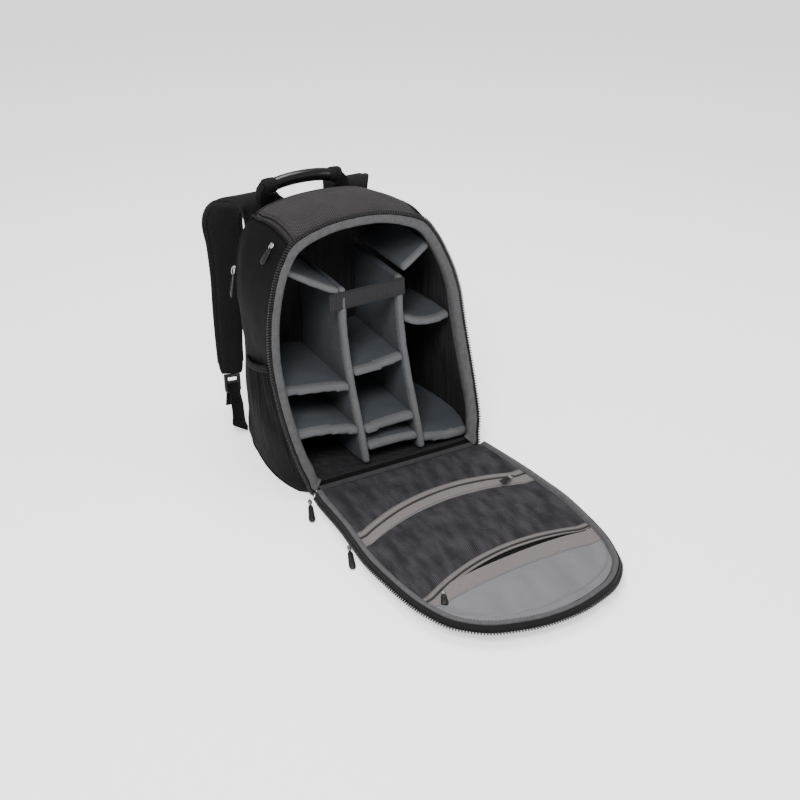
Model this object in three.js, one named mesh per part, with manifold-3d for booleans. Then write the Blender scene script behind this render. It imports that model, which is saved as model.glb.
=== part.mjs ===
// Camera backpack, standing open on a floor with its front lid laid down before it.
// Millimetres, +Z up, +Y towards the wearer's back, origin under the middle of the base.
import * as THREE from 'three';
import { mergeVertices } from 'three/addons/utils/BufferGeometryUtils.js';
import Module from 'manifold-3d';

const wasm = await Module();
wasm.setup();
const { lerp, smoothstep, degToRad } = THREE.MathUtils;

// Shell: the padded body
const rimHalfWidth = 157;
const rimFoot = 8;
const rimCrown = 382;
const rimTopY = -9;
const rimFlare = 74;
const flareHeight = 250;
const sideHalfWidth = 157;
const sideHeight = 388;
const sideY = 77;
const backHalfWidth = 98;
const backFoot = 72;
const backTop = 328;
const backY = 155;
const backSweep = 80;
const crownRise = 10;
const footRun = 0.16;
const footBulge = 0.045;
const shellWall = 12;
const shellLean = 13;
const slumpIn = 12;
const slumpInBehind = 4;
const slumpDown = 3;
const slumpDownBehind = 11;
const gap = 0.3;

// Edge trim of the opening
const tapeOverhang = 3;
const tapeReach = 4.2;
const tapeThickness = 1.6;
const bindingReach = 15.2;
const bindingThickness = 1.7;
const bindingReturn = 10;
const trimLift = 0.8;
const bindingClear = 1.5;

// Lid
const lidHalfWidth = 158;
const lidLength = 407;
const lidHingeY = -95;
const lidCentreX = 2;
const lidPanelInset = 11;
const lidPanelBottom = 7.5;
const lidPanelThickness = 9.5;
const lidEdgeRise = 8;
const lidEdgeRun = 120;
const lidTapeHeight = 10;
const lidBindingReach = 17;
const lidPocketInset = 18;
const lidPocketRound = 8;
const lidPocketStart = 26;
const hingeHalfWidth = 128;
const hingeThickness = 2;

// Pockets and bands on the inside of the lid
const meshThickness = 1;
const meshBulge = 7;
const bandThickness = 1.6;
const pocketMouthRise = 6.5;

// Dividers
const dividerThickness = 10;
const dividerSetback = 12;
const dividerClear = 0.5;
const longDividerTop = 271;
const longLeftX = -39;
const longRightX = 54;
const holdStrapHeight = 27;
const holdStrapThickness = 2;
const holdStrapZ = 253;
const holdStrapLeft = -62;
const holdStrapRight = 60;

// Carrying gear
const harnessOffset = -20;
const strapRootLift = 8;
const strapWidth = 66;
const strapEndWidth = 40;
const strapThickness = 13;
const webbingWidth = 25;
const webbingThickness = 2;
const buckleWidth = 36;
const buckleHeight = 30;
const buckleThickness = 5;
const tailLength = 36;
const buckleTurn = 34;
const anchorTurn = 52;
const anchorRow = 3.45;
const anchorRows = 0.9;
const anchorDepth = 0.72;
const anchorDepths = 0.12;
const anchorThickness = 2.4;
const anchorClear = 0.6;
const webbingSeat = 12.5;
const handleOffset = -28;
const handleSpacing = 62;
const handleRadius = 9.5;
const handleForward = 3.5;
const handleFootWidth = 45;
const handleFootThickness = 3;
const gripStart = 0.335;

// Side pockets
const sidePocketFootRow = 4.3;
const sidePocketClear = 0.8;
const sidePocketFront = 173;
const sidePocketBack = 146;
const sidePocketBulge = 9;
const sidePocketStart = 0.06;
const sidePocketEnd = 0.56;
const sidePocketThickness = 1.4;
const hemHeight = 10;
const hemThickness = 2.2;

// Zip pulls
const pullWidth = 8.5;
const pullThickness = 4;

// Half of each outline, from the middle of the base up to the crown, as shares of its width and height.
// rim: the zip line; side: where the sides stop running straight back; back: the flat of the back.
const outlineRows = [
  { rimW: 0, rimH: 0, sideW: 0, sideH: 0, backW: 0, backH: 0 },
  { rimW: 0.4, rimH: 0, sideW: 0.44, sideH: 0, backW: 0.42, backH: 0 },
  { rimW: 0.78, rimH: 0, sideW: 0.92, sideH: 0, backW: 0.76, backH: 0.01 },
  { rimW: 0.88, rimH: 0.006, sideW: 0.98, sideH: 0.006, backW: 0.92, backH: 0.08 },
  { rimW: 0.905, rimH: 0.05, sideW: 0.985, sideH: 0.05, backW: 0.985, backH: 0.18 },
  { rimW: 0.95, rimH: 0.12, sideW: 0.975, sideH: 0.14, backW: 1, backH: 0.28 },
  { rimW: 0.985, rimH: 0.24, sideW: 0.965, sideH: 0.27, backW: 1, backH: 0.38 },
  { rimW: 1, rimH: 0.38, sideW: 0.95, sideH: 0.42, backW: 1, backH: 0.48 },
  { rimW: 0.99, rimH: 0.53, sideW: 0.955, sideH: 0.56, backW: 1, backH: 0.58 },
  { rimW: 0.95, rimH: 0.67, sideW: 0.97, sideH: 0.7, backW: 0.98, backH: 0.69 },
  { rimW: 0.885, rimH: 0.785, sideW: 0.94, sideH: 0.81, backW: 0.94, backH: 0.79 },
  { rimW: 0.8, rimH: 0.875, sideW: 0.86, sideH: 0.895, backW: 0.85, backH: 0.88 },
  { rimW: 0.665, rimH: 0.945, sideW: 0.71, sideH: 0.955, backW: 0.68, backH: 0.95 },
  { rimW: 0.37, rimH: 0.988, sideW: 0.4, sideH: 0.99, backW: 0.38, backH: 0.99 },
  { rimW: 0, rimH: 1, sideW: 0, sideH: 1, backW: 0, backH: 1 },
];
const crownRow = outlineRows.length - 1;
const loopRows = 2 * crownRow;

// How far the zip line stands forward of its upper, upright part, by height.
const flareRows = [
  { height: 0, forward: 1 },
  { height: 0.17, forward: 0.81 },
  { height: 0.37, forward: 0.51 },
  { height: 0.58, forward: 0.24 },
  { height: 0.77, forward: 0.07 },
  { height: 1, forward: 0 },
];

// Half of the lid's outline, from the hinge to the tip, as shares.
const lidRows = [
  { along: 0, width: 0.905 },
  { along: 0.04, width: 0.918 },
  { along: 0.093, width: 0.932 },
  { along: 0.18, width: 0.945 },
  { along: 0.26, width: 0.958 },
  { along: 0.36, width: 0.98 },
  { along: 0.467, width: 1 },
  { along: 0.59, width: 0.985 },
  { along: 0.715, width: 0.948 },
  { along: 0.803, width: 0.888 },
  { along: 0.875, width: 0.8 },
  { along: 0.945, width: 0.6 },
  { along: 0.982, width: 0.34 },
  { along: 0.998, width: 0.12 },
];

// Lines across the lid's inside: distance from the hinge where each comes nearest, how far it bends
// away over one reach, and where across it comes nearest.
const lineReach = 140;
const lidLines = {
  firstBandStart: { nearest: 76, bend: 37, at: 27 },
  firstBandEnd: { nearest: 112, bend: 34, at: 27 },
  secondBandStart: { nearest: 240, bend: 35, at: 42 },
  secondBandEnd: { nearest: 255, bend: 33, at: 46 },
  mouthEnd: { nearest: 272, bend: 9, at: 85 },
  facingEnd: { nearest: 298, bend: 11, at: 60 },
};

// Short dividers: bay, heights of the front edge at its left, middle and right, in mm.
const shortDividers = [
  { name: 'divider_left_upper', from: -175, to: longLeftX, left: 350, middle: 303, right: 266 },
  { name: 'divider_left_middle', from: -175, to: longLeftX, left: 141, middle: 136, right: 126 },
  { name: 'divider_left_lower', from: -175, to: longLeftX, left: 78, middle: 78, right: 66 },
  { name: 'divider_middle_upper', from: longLeftX, to: longRightX, left: 143, middle: 145, right: 150 },
  { name: 'divider_middle_lower', from: longLeftX, to: longRightX, left: 63, middle: 66, right: 66 },
  { name: 'divider_middle_bottom', from: longLeftX, to: longRightX, left: 39, middle: 40, right: 37 },
  { name: 'divider_right_upper', from: longRightX, to: 175, left: 281, middle: 325, right: 392 },
  { name: 'divider_right_middle', from: longRightX, to: 175, left: 203, middle: 191, right: 218 },
  { name: 'divider_right_lower', from: longRightX, to: 175, left: 31, middle: 24, right: 30 },
];

// Shoulder strap's centre line: behind the back panel, height, and out from the middle, in mm.
const strapRows = [
  { behind: 0, height: 316, out: 64 },
  { behind: 2, height: 342, out: 66 },
  { behind: 13, height: 357, out: 73 },
  { behind: 35, height: 356, out: 87 },
  { behind: 58, height: 343, out: 99 },
  { behind: 75, height: 315, out: 104 },
  { behind: 82, height: 276, out: 100 },
  { behind: 80, height: 222, out: 101 },
  { behind: 70, height: 165, out: 108 },
  { behind: 52, height: 115, out: 116 },
  { behind: 34, height: 74, out: 122 },
];

// Centre line of the handle, foot to foot: share of its half width, and height in mm.
const handleRows = [
  { across: -0.55, height: 312 },
  { across: -0.58, height: 330 },
  { across: -0.72, height: 350 },
  { across: -0.98, height: 369 },
  { across: -0.9, height: 382 },
  { across: -0.5, height: 389 },
  { across: 0, height: 391 },
  { across: 0.5, height: 389 },
  { across: 0.88, height: 382 },
  { across: 1, height: 369 },
  { across: 0.93, height: 350 },
  { across: 0.87, height: 330 },
  { across: 0.86, height: 312 },
];

const cloth = (color, roughness) => new THREE.MeshStandardMaterial({ color, roughness, metalness: 0 });
const blackCloth = cloth(0x212022, 0.85);
const wovenCloth = cloth(0x3c383c, 0.9);
const greyBinding = cloth(0x6e6e70, 0.9);
const zipCloth = cloth(0x18181a, 0.7);
const dividerCloth = cloth(0x565c62, 0.95);
const grosgrain = cloth(0x787170, 0.9);
const meshCloth = cloth(0x2d2a30, 0.8);
const greyNylon = cloth(0x737578, 0.6);
const strapCloth = cloth(0x2b292b, 0.9);
const webbing = cloth(0x1c1b1d, 0.8);
const mouldedBlack = cloth(0x151516, 0.4);

const group = new THREE.Group();
group.name = 'camera_backpack';

function add(name, geometry, material) {
  const mesh = new THREE.Mesh(geometry, material);
  mesh.name = name;
  group.add(mesh);
}

// Value of one column of a table at a position along another, smoothly between the rows.
function columnAt(rows, alongKey, key, x) {
  let i = 0;
  while (i < rows.length - 2 && rows[i + 1][alongKey] < x) i += 1;
  const span = rows[i + 1][alongKey] - rows[i][alongKey];
  const t = (x - rows[i][alongKey]) / span;
  const slope = (a, b) => (rows[b][key] - rows[a][key]) / (rows[b][alongKey] - rows[a][alongKey]);
  const last = rows.length - 1;
  const startSlope = slope(Math.max(i - 1, 0), i + 1) * span;
  const endSlope = slope(i, Math.min(i + 2, last)) * span;
  const a = rows[i][key];
  const b = rows[i + 1][key];
  const t2 = t * t;
  const t3 = t2 * t;
  return a * (2 * t3 - 3 * t2 + 1) + startSlope * (t3 - 2 * t2 + t) + b * (3 * t2 - 2 * t3) + endSlope * (t3 - t2);
}

// Closed geometry from points and triangles, faces turned outwards.
function closedGeometry(points, index) {
  let volume = 0;
  for (let i = 0; i < index.length; i += 3) {
    const [a, b, c] = [points[index[i]], points[index[i + 1]], points[index[i + 2]]];
    volume += a.dot(new THREE.Vector3().crossVectors(b, c));
  }
  const turned = [...index];
  if (volume < 0) {
    turned.reverse();
  }
  const geometry = new THREE.BufferGeometry().setFromPoints(points);
  geometry.setIndex(turned);
  geometry.computeVertexNormals();
  return geometry;
}

const quad = (a, b, c, d) => [a, b, c, a, c, d];

// Solid between two sheets, each a grid of rows x columns given by a function of two shares.
function slab(rows, columns, outer, inner) {
  const points = [];
  for (const sheet of [outer, inner]) {
    for (let i = 0; i <= rows; i += 1) {
      for (let j = 0; j <= columns; j += 1) {
        points.push(sheet(i / rows, j / columns));
      }
    }
  }
  const sheetSize = (rows + 1) * (columns + 1);
  const at = (sheet, i, j) => sheet * sheetSize + i * (columns + 1) + j;
  const index = [];
  for (let i = 0; i < rows; i += 1) {
    for (let j = 0; j < columns; j += 1) {
      index.push(...quad(at(0, i, j), at(0, i + 1, j), at(0, i + 1, j + 1), at(0, i, j + 1)));
      index.push(...quad(at(1, i, j), at(1, i, j + 1), at(1, i + 1, j + 1), at(1, i + 1, j)));
    }
  }
  for (let i = 0; i < rows; i += 1) {
    index.push(...quad(at(0, i, 0), at(1, i, 0), at(1, i + 1, 0), at(0, i + 1, 0)));
    index.push(...quad(at(0, i, columns), at(0, i + 1, columns), at(1, i + 1, columns), at(1, i, columns)));
  }
  for (let j = 0; j < columns; j += 1) {
    index.push(...quad(at(0, 0, j), at(0, 0, j + 1), at(1, 0, j + 1), at(1, 0, j)));
    index.push(...quad(at(0, rows, j), at(1, rows, j), at(1, rows, j + 1), at(0, rows, j + 1)));
  }
  return closedGeometry(points, index);
}

// Solid through sections, each a list of corners; flat is the same outline in a plane of its own.
function skin(sections, flat) {
  const index = [];
  const corners = flat.length;
  for (let i = 0; i < sections.length - 1; i += 1) {
    for (let k = 0; k < corners; k += 1) {
      const next = (k + 1) % corners;
      index.push(...quad(i * corners + k, i * corners + next, (i + 1) * corners + next, (i + 1) * corners + k));
    }
  }
  const last = (sections.length - 1) * corners;
  const outline = flat.map(([x, y]) => new THREE.Vector2(x, y));
  const anticlockwise = THREE.ShapeUtils.area(outline) > 0;
  for (const [a, b, c] of THREE.ShapeUtils.triangulateShape(outline, [])) {
    const face = anticlockwise ? [c, b, a] : [a, b, c];
    index.push(...face, ...[...face].reverse().map((corner) => last + corner));
  }
  return closedGeometry(sections.flat(), index);
}

// Solid swept along stations { origin, a, b }; section(share) gives its corners along a and b.
function sweep(stations, section) {
  const sections = stations.map((station, i) => section(i / (stations.length - 1)).map(
    ([alongA, alongB]) => station.origin.clone()
      .addScaledVector(station.a, alongA)
      .addScaledVector(station.b, alongB),
  ));
  return skin(sections, section(0));
}

// Solid through closed loops whose first point is the foot and whose middle point is the crown.
function loft(loops) {
  const count = loops[0].length;
  const half = count / 2;
  const index = [];
  for (let i = 0; i < loops.length - 1; i += 1) {
    for (let k = 0; k < count; k += 1) {
      const next = (k + 1) % count;
      index.push(...quad(i * count + k, i * count + next, (i + 1) * count + next, (i + 1) * count + k));
    }
  }
  for (const [start, flip] of [[0, true], [(loops.length - 1) * count, false]]) {
    for (let i = 0; i < half; i += 1) {
      const [a, b] = [start + i, start + i + 1];
      const [c, d] = [start + ((count - i - 1) % count), start + ((count - i) % count)];
      const faces = [];
      if (b !== c) faces.push([a, b, c]);
      if (a !== d) faces.push([a, c, d]);
      for (const [p, q, r] of faces) index.push(...(flip ? [p, r, q] : [p, q, r]));
    }
  }
  return closedGeometry(loops.flat(), index);
}

function toSolid(geometry) {
  const bare = geometry.clone();
  bare.deleteAttribute('normal');
  bare.deleteAttribute('uv');
  const merged = mergeVertices(bare, 1e-4);
  return new wasm.Manifold(new wasm.Mesh({
    numProp: 3,
    vertProperties: merged.attributes.position.array,
    triVerts: Uint32Array.from(merged.index.array),
  }));
}

function fromSolid(solid) {
  const mesh = solid.getMesh();
  const geometry = new THREE.BufferGeometry();
  geometry.setAttribute('position', new THREE.BufferAttribute(Float32Array.from(mesh.vertProperties), 3));
  geometry.setIndex([...mesh.triVerts]);
  geometry.computeVertexNormals();
  return geometry;
}

// Outline curves of the shell, a layer deep inside its outer face, by row number around the loop
function outlineCurve(widthKey, heightKey, halfWidth, foot, top) {
  const right = outlineRows.map((row) => [row[widthKey] * halfWidth, lerp(foot, top, row[heightKey])]);
  const left = right.slice(1, -1).reverse().map(([x, z]) => [-x, z]);
  const points = [...right, ...left].map(([x, z]) => new THREE.Vector3(x, 0, z));
  return new THREE.CatmullRomCurve3(points, true, 'catmullrom', 0.5);
}
const layers = new Map();

function outlinesAt(layer) {
  if (!layers.has(layer)) {
    layers.set(layer, {
      rim: outlineCurve('rimW', 'rimH', rimHalfWidth - layer, rimFoot + layer, rimCrown - layer),
      side: outlineCurve('sideW', 'sideH', sideHalfWidth - layer, layer, sideHeight - layer),
      back: outlineCurve('backW', 'backH', backHalfWidth - layer / 2, backFoot + layer / 2, backTop - layer / 2),
    });
  }
  return layers.get(layer);
}
const onLoop = (curve, row) => curve.getPoint((((row % loopRows) + loopRows) % loopRows) / loopRows);

function rimYAt(z) {
  const share = Math.min(Math.max(z - rimFoot, 0) / (flareHeight - rimFoot), 1);
  return rimTopY - rimFlare * columnAt(flareRows, 'height', 'forward', share);
}

const leanAt = (z) => -shellLean * (z / sideHeight);

// Point of the shell, a layer inside its outer face: row around the loop, depth 0 at the zip line
// to 1 at the back.
function shellPoint(row, depth, layer = 0) {
  const outlines = outlinesAt(layer);
  const rim = onLoop(outlines.rim, row);
  const side = onLoop(outlines.side, row);
  const back = onLoop(outlines.back, row);
  const point = new THREE.Vector3();
  if (depth <= 0.5) {
    const t = depth * 2;
    const footShare = 1 - smoothstep(side.z, layer, layer + 0.1 * sideHeight);
    const footDrop = Math.max(0, 1 - t / footRun);
    const share = lerp(t, 1 - footDrop, footShare);
    const crownShare = smoothstep(side.z + layer, 0.8 * sideHeight, sideHeight);
    const lowShare = 1 - smoothstep(side.z, 0.15 * sideHeight, 0.4 * sideHeight);
    point.set(
      lerp(rim.x, side.x, lerp(t, 1 - (1 - t) ** 4, lowShare)) * (1 + footBulge * lowShare * 4 * t * (1 - t)),
      lerp(rimYAt(rim.z), sideY, t),
      lerp(rim.z, side.z, share) + crownRise * crownShare * 4 * t * (1 - t),
    );
  } else {
    const turn = degToRad((depth - 0.5) * 2 * backSweep);
    const inward = 1 - Math.cos(turn);
    point.set(
      lerp(side.x, back.x, inward),
      lerp(sideY, backY - layer, Math.sin(turn)),
      lerp(side.z, back.z, inward),
    );
  }
  const slump = smoothstep(point.x, -20, 90) * smoothstep(point.z, 225, 355);
  const behind = Math.min(depth / 0.4, 1);
  point.x += leanAt(point.z) - slump * (slumpIn + slumpInBehind * behind);
  const corner = smoothstep(point.x, 30, 115);
  point.z -= slump * (slumpDown + slumpDownBehind * behind * corner);
  return point;
}

const shellMiddle = new THREE.Vector3(0, sideY / 2, sideHeight / 2);

function shellNormal(row, depth) {
  const step = 0.02;
  const low = Math.max(depth - step, 0);
  const high = Math.min(depth + step, 1);
  const around = shellPoint(row + step, depth).sub(shellPoint(row - step, depth));
  const along = shellPoint(row, high).sub(shellPoint(row, low));
  const normal = around.cross(along).normalize();
  const outward = shellPoint(row, depth).sub(shellMiddle);
  return normal.dot(outward) < 0 ? normal.negate() : normal;
}

// Row number at which the outer face passes a height, on the right side of the bag.
function rowAtHeight(depth, height) {
  let low = 0;
  let high = crownRow;
  for (let i = 0; i < 30; i += 1) {
    const middle = (low + high) / 2;
    if (shellPoint(middle, depth).z < height) low = middle;
    else high = middle;
  }
  return low;
}

// Shell panels between two rows of the loop
const baseEndRow = 2.5;
const topStartRow = 11.8;
const rowGap = 0.006;

const evenly = (start, end, steps) => Array.from({ length: steps + 1 }, (_, i) => lerp(start, end, i / steps));
const baseRows = evenly(-baseEndRow + rowGap, baseEndRow - rowGap, 8);
const rightRows = evenly(baseEndRow + rowGap, topStartRow - rowGap, 12);
const topRows = evenly(topStartRow + rowGap, loopRows - topStartRow - rowGap, 10);
const leftRows = rightRows.map((row) => loopRows - row).reverse();
const depthStops = [0, 0.08, 0.15, 0.25, 0.375, 0.5, 0.625, 0.75, 0.875, 1];
const atStop = (stops, share) => stops[Math.round(share * (stops.length - 1))];

function shellPanel(name, rows, material) {
  const face = (layer) => (s, t) => shellPoint(atStop(rows, s), atStop(depthStops, t), layer);
  add(name, slab(rows.length - 1, depthStops.length - 1, face(0), face(shellWall)), material);
}
shellPanel('shell_base', baseRows, blackCloth);
shellPanel('shell_side_right', rightRows, blackCloth);
shellPanel('shell_top', topRows, wovenCloth);
shellPanel('shell_side_left', leftRows, blackCloth);

// All of those rows once round, from the middle of the base
const aroundRows = [
  ...baseRows.filter((row) => row > -1e-6),
  ...rightRows,
  ...topRows,
  ...leftRows,
  ...baseRows.filter((row) => row < -1e-6).map((row) => row + loopRows),
];
const shellLoop = (depthAt, layer) => aroundRows.map((row) => shellPoint(row, depthAt(row), layer));

const backPlane = lerp(sideY, backY, Math.sin(degToRad(backSweep)));

function backPanel() {
  const centreZ = (backFoot + backTop) / 2;
  const centreX = leanAt(centreZ);
  const shrunk = (loop) => loop.map((point) => new THREE.Vector3(
    lerp(centreX, point.x, 1 - (1.5 * gap) / backHalfWidth),
    point.y,
    lerp(centreZ, point.z, 1 - (1.5 * gap) / backHalfWidth),
  ));
  return loft([shrunk(shellLoop(() => 1, shellWall)), shrunk(shellLoop(() => 1, 0))]);
}
add('shell_back', backPanel(), blackCloth);

// Trim along the zip line, from the right end of the hinge over the crown to the left end
const rimRows = [...rightRows, ...topRows, ...leftRows];

function rimNormal(z) {
  const step = 1;
  return new THREE.Vector3(0, -2 * step, rimYAt(z + step) - rimYAt(z - step)).normalize();
}

// Point on the front of the wall's edge: inwards by a layer, forwards by a lift, which may go
// back along the wall's inner face
function rimPoint(row, layer, lift) {
  const onEdge = (depth) => shellPoint(row, depth, 0).lerp(shellPoint(row, depth, shellWall), layer / shellWall);
  const point = onEdge(0);
  if (lift > 0) return point.addScaledVector(rimNormal(point.z), lift);
  const deeper = onEdge(depthStops[1]);
  return point.lerp(deeper, -lift / (deeper.y - point.y));
}

function rimTrim(name, corners, material) {
  const sections = rimRows.map((row) => corners.map(([layer, lift]) => rimPoint(row, layer, lift)));
  add(name, skin(sections, corners), material);
}
rimTrim('rim_zip_tape', [
  [-tapeOverhang, trimLift],
  [-tapeOverhang, trimLift + tapeThickness],
  [tapeReach, trimLift + tapeThickness],
  [tapeReach, trimLift],
], zipCloth);
rimTrim('rim_binding', [
  [tapeReach + gap, trimLift],
  [tapeReach + gap, trimLift + bindingThickness],
  [bindingReach, trimLift + bindingThickness],
  [bindingReach, -bindingReturn],
  [shellWall + bindingClear, -bindingReturn],
  [shellWall + bindingClear, trimLift],
], greyBinding);

// Lid, lying with its inside up
const lidTop = lidPanelBottom + lidPanelThickness;
const lidHalfAt = (along) => lidHalfWidth * columnAt(lidRows, 'along', 'width', along / lidLength);
const lidPoint = (x, along, z) => new THREE.Vector3(lidCentreX + x, lidHingeY - along, z);

// Stations around the lid's edge from the left end of the hinge to the right one
const lidEdge = [
  ...lidRows.map((row) => [-row.width * lidHalfWidth, row.along * lidLength]),
  ...[...lidRows].reverse().map((row) => [row.width * lidHalfWidth, row.along * lidLength]),
];
const lidEdgeCurve = new THREE.CatmullRomCurve3(
  lidEdge.map(([x, along]) => lidPoint(x, along, 0)),
  false,
  'catmullrom',
  0.5,
);
const lidEdgeSteps = 44;
const lidStations = Array.from({ length: lidEdgeSteps + 1 }, (_, i) => {
  const share = lerp(0.012, 0.988, i / lidEdgeSteps);
  const tangent = lidEdgeCurve.getTangent(share);
  return {
    origin: lidEdgeCurve.getPoint(share),
    inward: new THREE.Vector3(-tangent.y, tangent.x, 0).normalize(),
  };
});
const edgeRiseAt = (station) => lidEdgeRise * lerp(0.2, 1, smoothstep(lidHingeY - station.origin.y, 0, lidEdgeRun));

// Outline of the lid at an inset and a height, cut straight near the hinge
function lidLoop(inset, start, z) {
  const tip = lidEdgeSteps / 2;
  const used = lidStations.map((station) => station.origin.clone().addScaledVector(station.inward, inset));
  const kept = (i) => lidHingeY - lidStations[i].origin.y > start + 6;
  const right = [];
  const left = [];
  for (let i = tip + 1; i <= lidEdgeSteps; i += 1) {
    if (kept(i)) right.push(used[i]);
  }
  for (let i = 0; i < tip; i += 1) {
    if (kept(i)) left.push(used[i]);
  }
  const y = lidHingeY - start;
  const loop = [
    used[tip],
    ...right,
    new THREE.Vector3(right[right.length - 1].x, y, 0),
    new THREE.Vector3(lidCentreX, y, 0),
    new THREE.Vector3(left[0].x, y, 0),
    ...left,
  ];
  return loop.map((point) => new THREE.Vector3(point.x, point.y, z));
}
add('lid_panel', loft([
  lidLoop(lidPanelInset, 2, lidTop),
  lidLoop(lidPanelInset, 2, lidPanelBottom),
]), blackCloth);

const pocketTop = lidPanelBottom - gap;
add('lid_front_pocket', loft([
  lidLoop(lidPocketInset, lidPocketStart, pocketTop),
  lidLoop(lidPocketInset + 0.25 * lidPocketRound, lidPocketStart, 0.35 * pocketTop),
  lidLoop(lidPocketInset + lidPocketRound, lidPocketStart, 0),
]), wovenCloth);

add('lid_hinge', sweep(
  [-1, -0.5, 0, 0.5, 1].map((share) => ({
    origin: new THREE.Vector3(share * hingeHalfWidth, 0, 0),
    a: new THREE.Vector3(0, 1, 0),
    b: new THREE.Vector3(0, 0, 1),
  })),
  () => {
    const back = rimYAt(rimFoot) - 4 * gap;
    const front = lidHingeY - 2 + gap;
    const top = lidTop - 0.5;
    return [[back, top - hingeThickness], [back, top], [front, top], [front, top - hingeThickness]];
  },
), greyBinding);

function lidTrim(name, corners, material) {
  const sections = lidStations.map((station) => corners.map(([inset, z, rise]) => {
    const point = station.origin.clone().addScaledVector(station.inward, inset);
    return point.setZ(lidTop + z + rise * edgeRiseAt(station));
  }));
  add(name, skin(sections, corners), material);
}
lidTrim('lid_zip_tape', [
  [-0.6, -lidTapeHeight + 1, 1],
  [1, -lidTapeHeight + 1, 1],
  [2.4, 1, 1],
  [0.8, 1, 1],
], zipCloth);
lidTrim('lid_binding', [
  [3, -3, 0.6],
  [3, 1, 1],
  [6, 2.4, 1],
  [9.5, 1.8, 0.95],
  [lidBindingReach, gap + bindingThickness, 0],
  [lidBindingReach, gap, 0],
  [9.2, gap, 0],
  [9.2, -3, 0],
], greyBinding);

// Sheets on the inside of the lid, between two bent lines, inside its bound edge
const innerShare = 1 - (lidBindingReach + 2 * gap) / lidHalfWidth;
const lidCentre = 0.45 * lidLength;
const lidInnerHalf = (along) => innerShare * lidHalfAt(lidCentre + (along - lidCentre) / innerShare);
const patchColumns = 14;
const lineOf = ({ nearest, bend, at }) => (x) => nearest + bend * ((x - at) / lineReach) ** 2;
const shifted = (line, by) => (x) => line(x) + by;
const firstBandLine = lineOf(lidLines.firstBandStart);
const firstBandFar = lineOf(lidLines.firstBandEnd);
const secondBandLine = lineOf(lidLines.secondBandStart);
const secondBandFar = lineOf(lidLines.secondBandEnd);
const mouthFar = (x) => Math.max(lineOf(lidLines.mouthEnd)(x), secondBandFar(x) + 2 * gap);
const facingFar = lineOf(lidLines.facingEnd);

// How far the pocket at the tip stands open: most at its mouth, none at the lid's edge
function mouthRise(x, along) {
  const across = Math.min(Math.abs(x) / lidInnerHalf(along), 1);
  return pocketMouthRise * (1 - across ** 4) * (1 - smoothstep(along, 0.72 * lidLength, 0.93 * lidLength));
}

function lidPatch(name, rows, startLine, endLine, bulge, thickness, material) {
  const sheet = (lift) => (s, t) => {
    const line = (x) => lerp(startLine(x), endLine(x), s);
    const across = 2 * t - 1;
    let x = across * lidInnerHalf(line(0));
    x = across * lidInnerHalf(line(x));
    return lidPoint(x, line(x), lidTop + bulge(s, across, x, line(x)) + lift);
  };
  add(name, slab(rows, patchColumns, sheet(gap + thickness), sheet(gap)), material);
}
const level = () => 0;
const domed = (s, across) => meshBulge * (1 - (2 * s - 1) ** 4) * (1 - across ** 4);
const open = (s, across, x, along) => mouthRise(x, along);
lidPatch('lid_mesh_pocket_hinge', 5, () => 20, shifted(firstBandLine, -gap), domed, meshThickness, meshCloth);
lidPatch('lid_zip_band_hinge', 2, firstBandLine, firstBandFar, level, bandThickness, grosgrain);
lidPatch('lid_mesh_pocket_tip', 6, shifted(firstBandFar, gap), shifted(secondBandLine, -gap), domed, meshThickness, meshCloth);
lidPatch('lid_zip_band_tip', 1, secondBandLine, secondBandFar, level, bandThickness, grosgrain);
lidPatch('lid_pocket_facing', 2, mouthFar, facingFar, open, bandThickness, grosgrain);

// Smooth lining from the last band to the tip
function tipLining() {
  const wide = lidInnerHalf(lidLines.facingEnd.nearest + 12) * 0.97;
  const tipAt = (x) => {
    let low = lidLines.facingEnd.nearest;
    let high = lidCentre + (lidLength - lidCentre) * innerShare;
    for (let i = 0; i < 30; i += 1) {
      const middle = (low + high) / 2;
      if (lidInnerHalf(middle) > Math.abs(x)) low = middle;
      else high = middle;
    }
    return low;
  };
  const sheet = (lift) => (s, t) => {
    const x = wide * (2 * t - 1);
    const along = lerp(facingFar(x) + gap, tipAt(x), s);
    return lidPoint(x, along, lidTop + mouthRise(x, along) + lift);
  };
  return slab(5, patchColumns, sheet(gap + bandThickness), sheet(gap));
}
add('lid_tip_lining', tipLining(), greyNylon);

// Space inside the shell that the dividers fill, from their front edges to the back panel
const dividerDepth = (row) => 0.5 * (dividerSetback / (sideY - shellPoint(row, 0).y));
const dividerLayer = shellWall + dividerClear;
const interior = toSolid(loft([
  shellLoop(dividerDepth, shellWall + bindingThickness + 2 * gap),
  ...depthStops.slice(2).map((depth) => shellLoop(() => depth, dividerLayer)),
]));

function longDivider(name, x) {
  const height = longDividerTop;
  const depth = 400;
  const board = new THREE.BoxGeometry(dividerThickness, depth, height);
  board.translate(x, 0, height / 2);
  add(name, fromSolid(toSolid(board).intersect(interior)), dividerCloth);
}
longDivider('divider_long_left', longLeftX);
longDivider('divider_long_right', longRightX);

// A short divider is a board curved through its three heights, trimmed to the bay it stands in.
function shortDivider({ name, from, to, left, middle, right }) {
  const clear = dividerThickness / 2 + gap;
  const start = from === longLeftX || from === longRightX ? from + clear : from;
  const end = to === longLeftX || to === longRightX ? to - clear : to;
  const depth = 200;
  const heightAt = (t) => left * (2 * t - 1) * (t - 1) + middle * 4 * t * (1 - t) + right * t * (2 * t - 1);
  const sheet = (lift) => (s, t) => new THREE.Vector3(lerp(start, end, s), lerp(-depth, depth, t), heightAt(s) + lift);
  const board = slab(6, 1, sheet(dividerThickness / 2), sheet(-dividerThickness / 2));
  add(name, fromSolid(toSolid(board).intersect(interior)), dividerCloth);
}
shortDividers.forEach(shortDivider);

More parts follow.
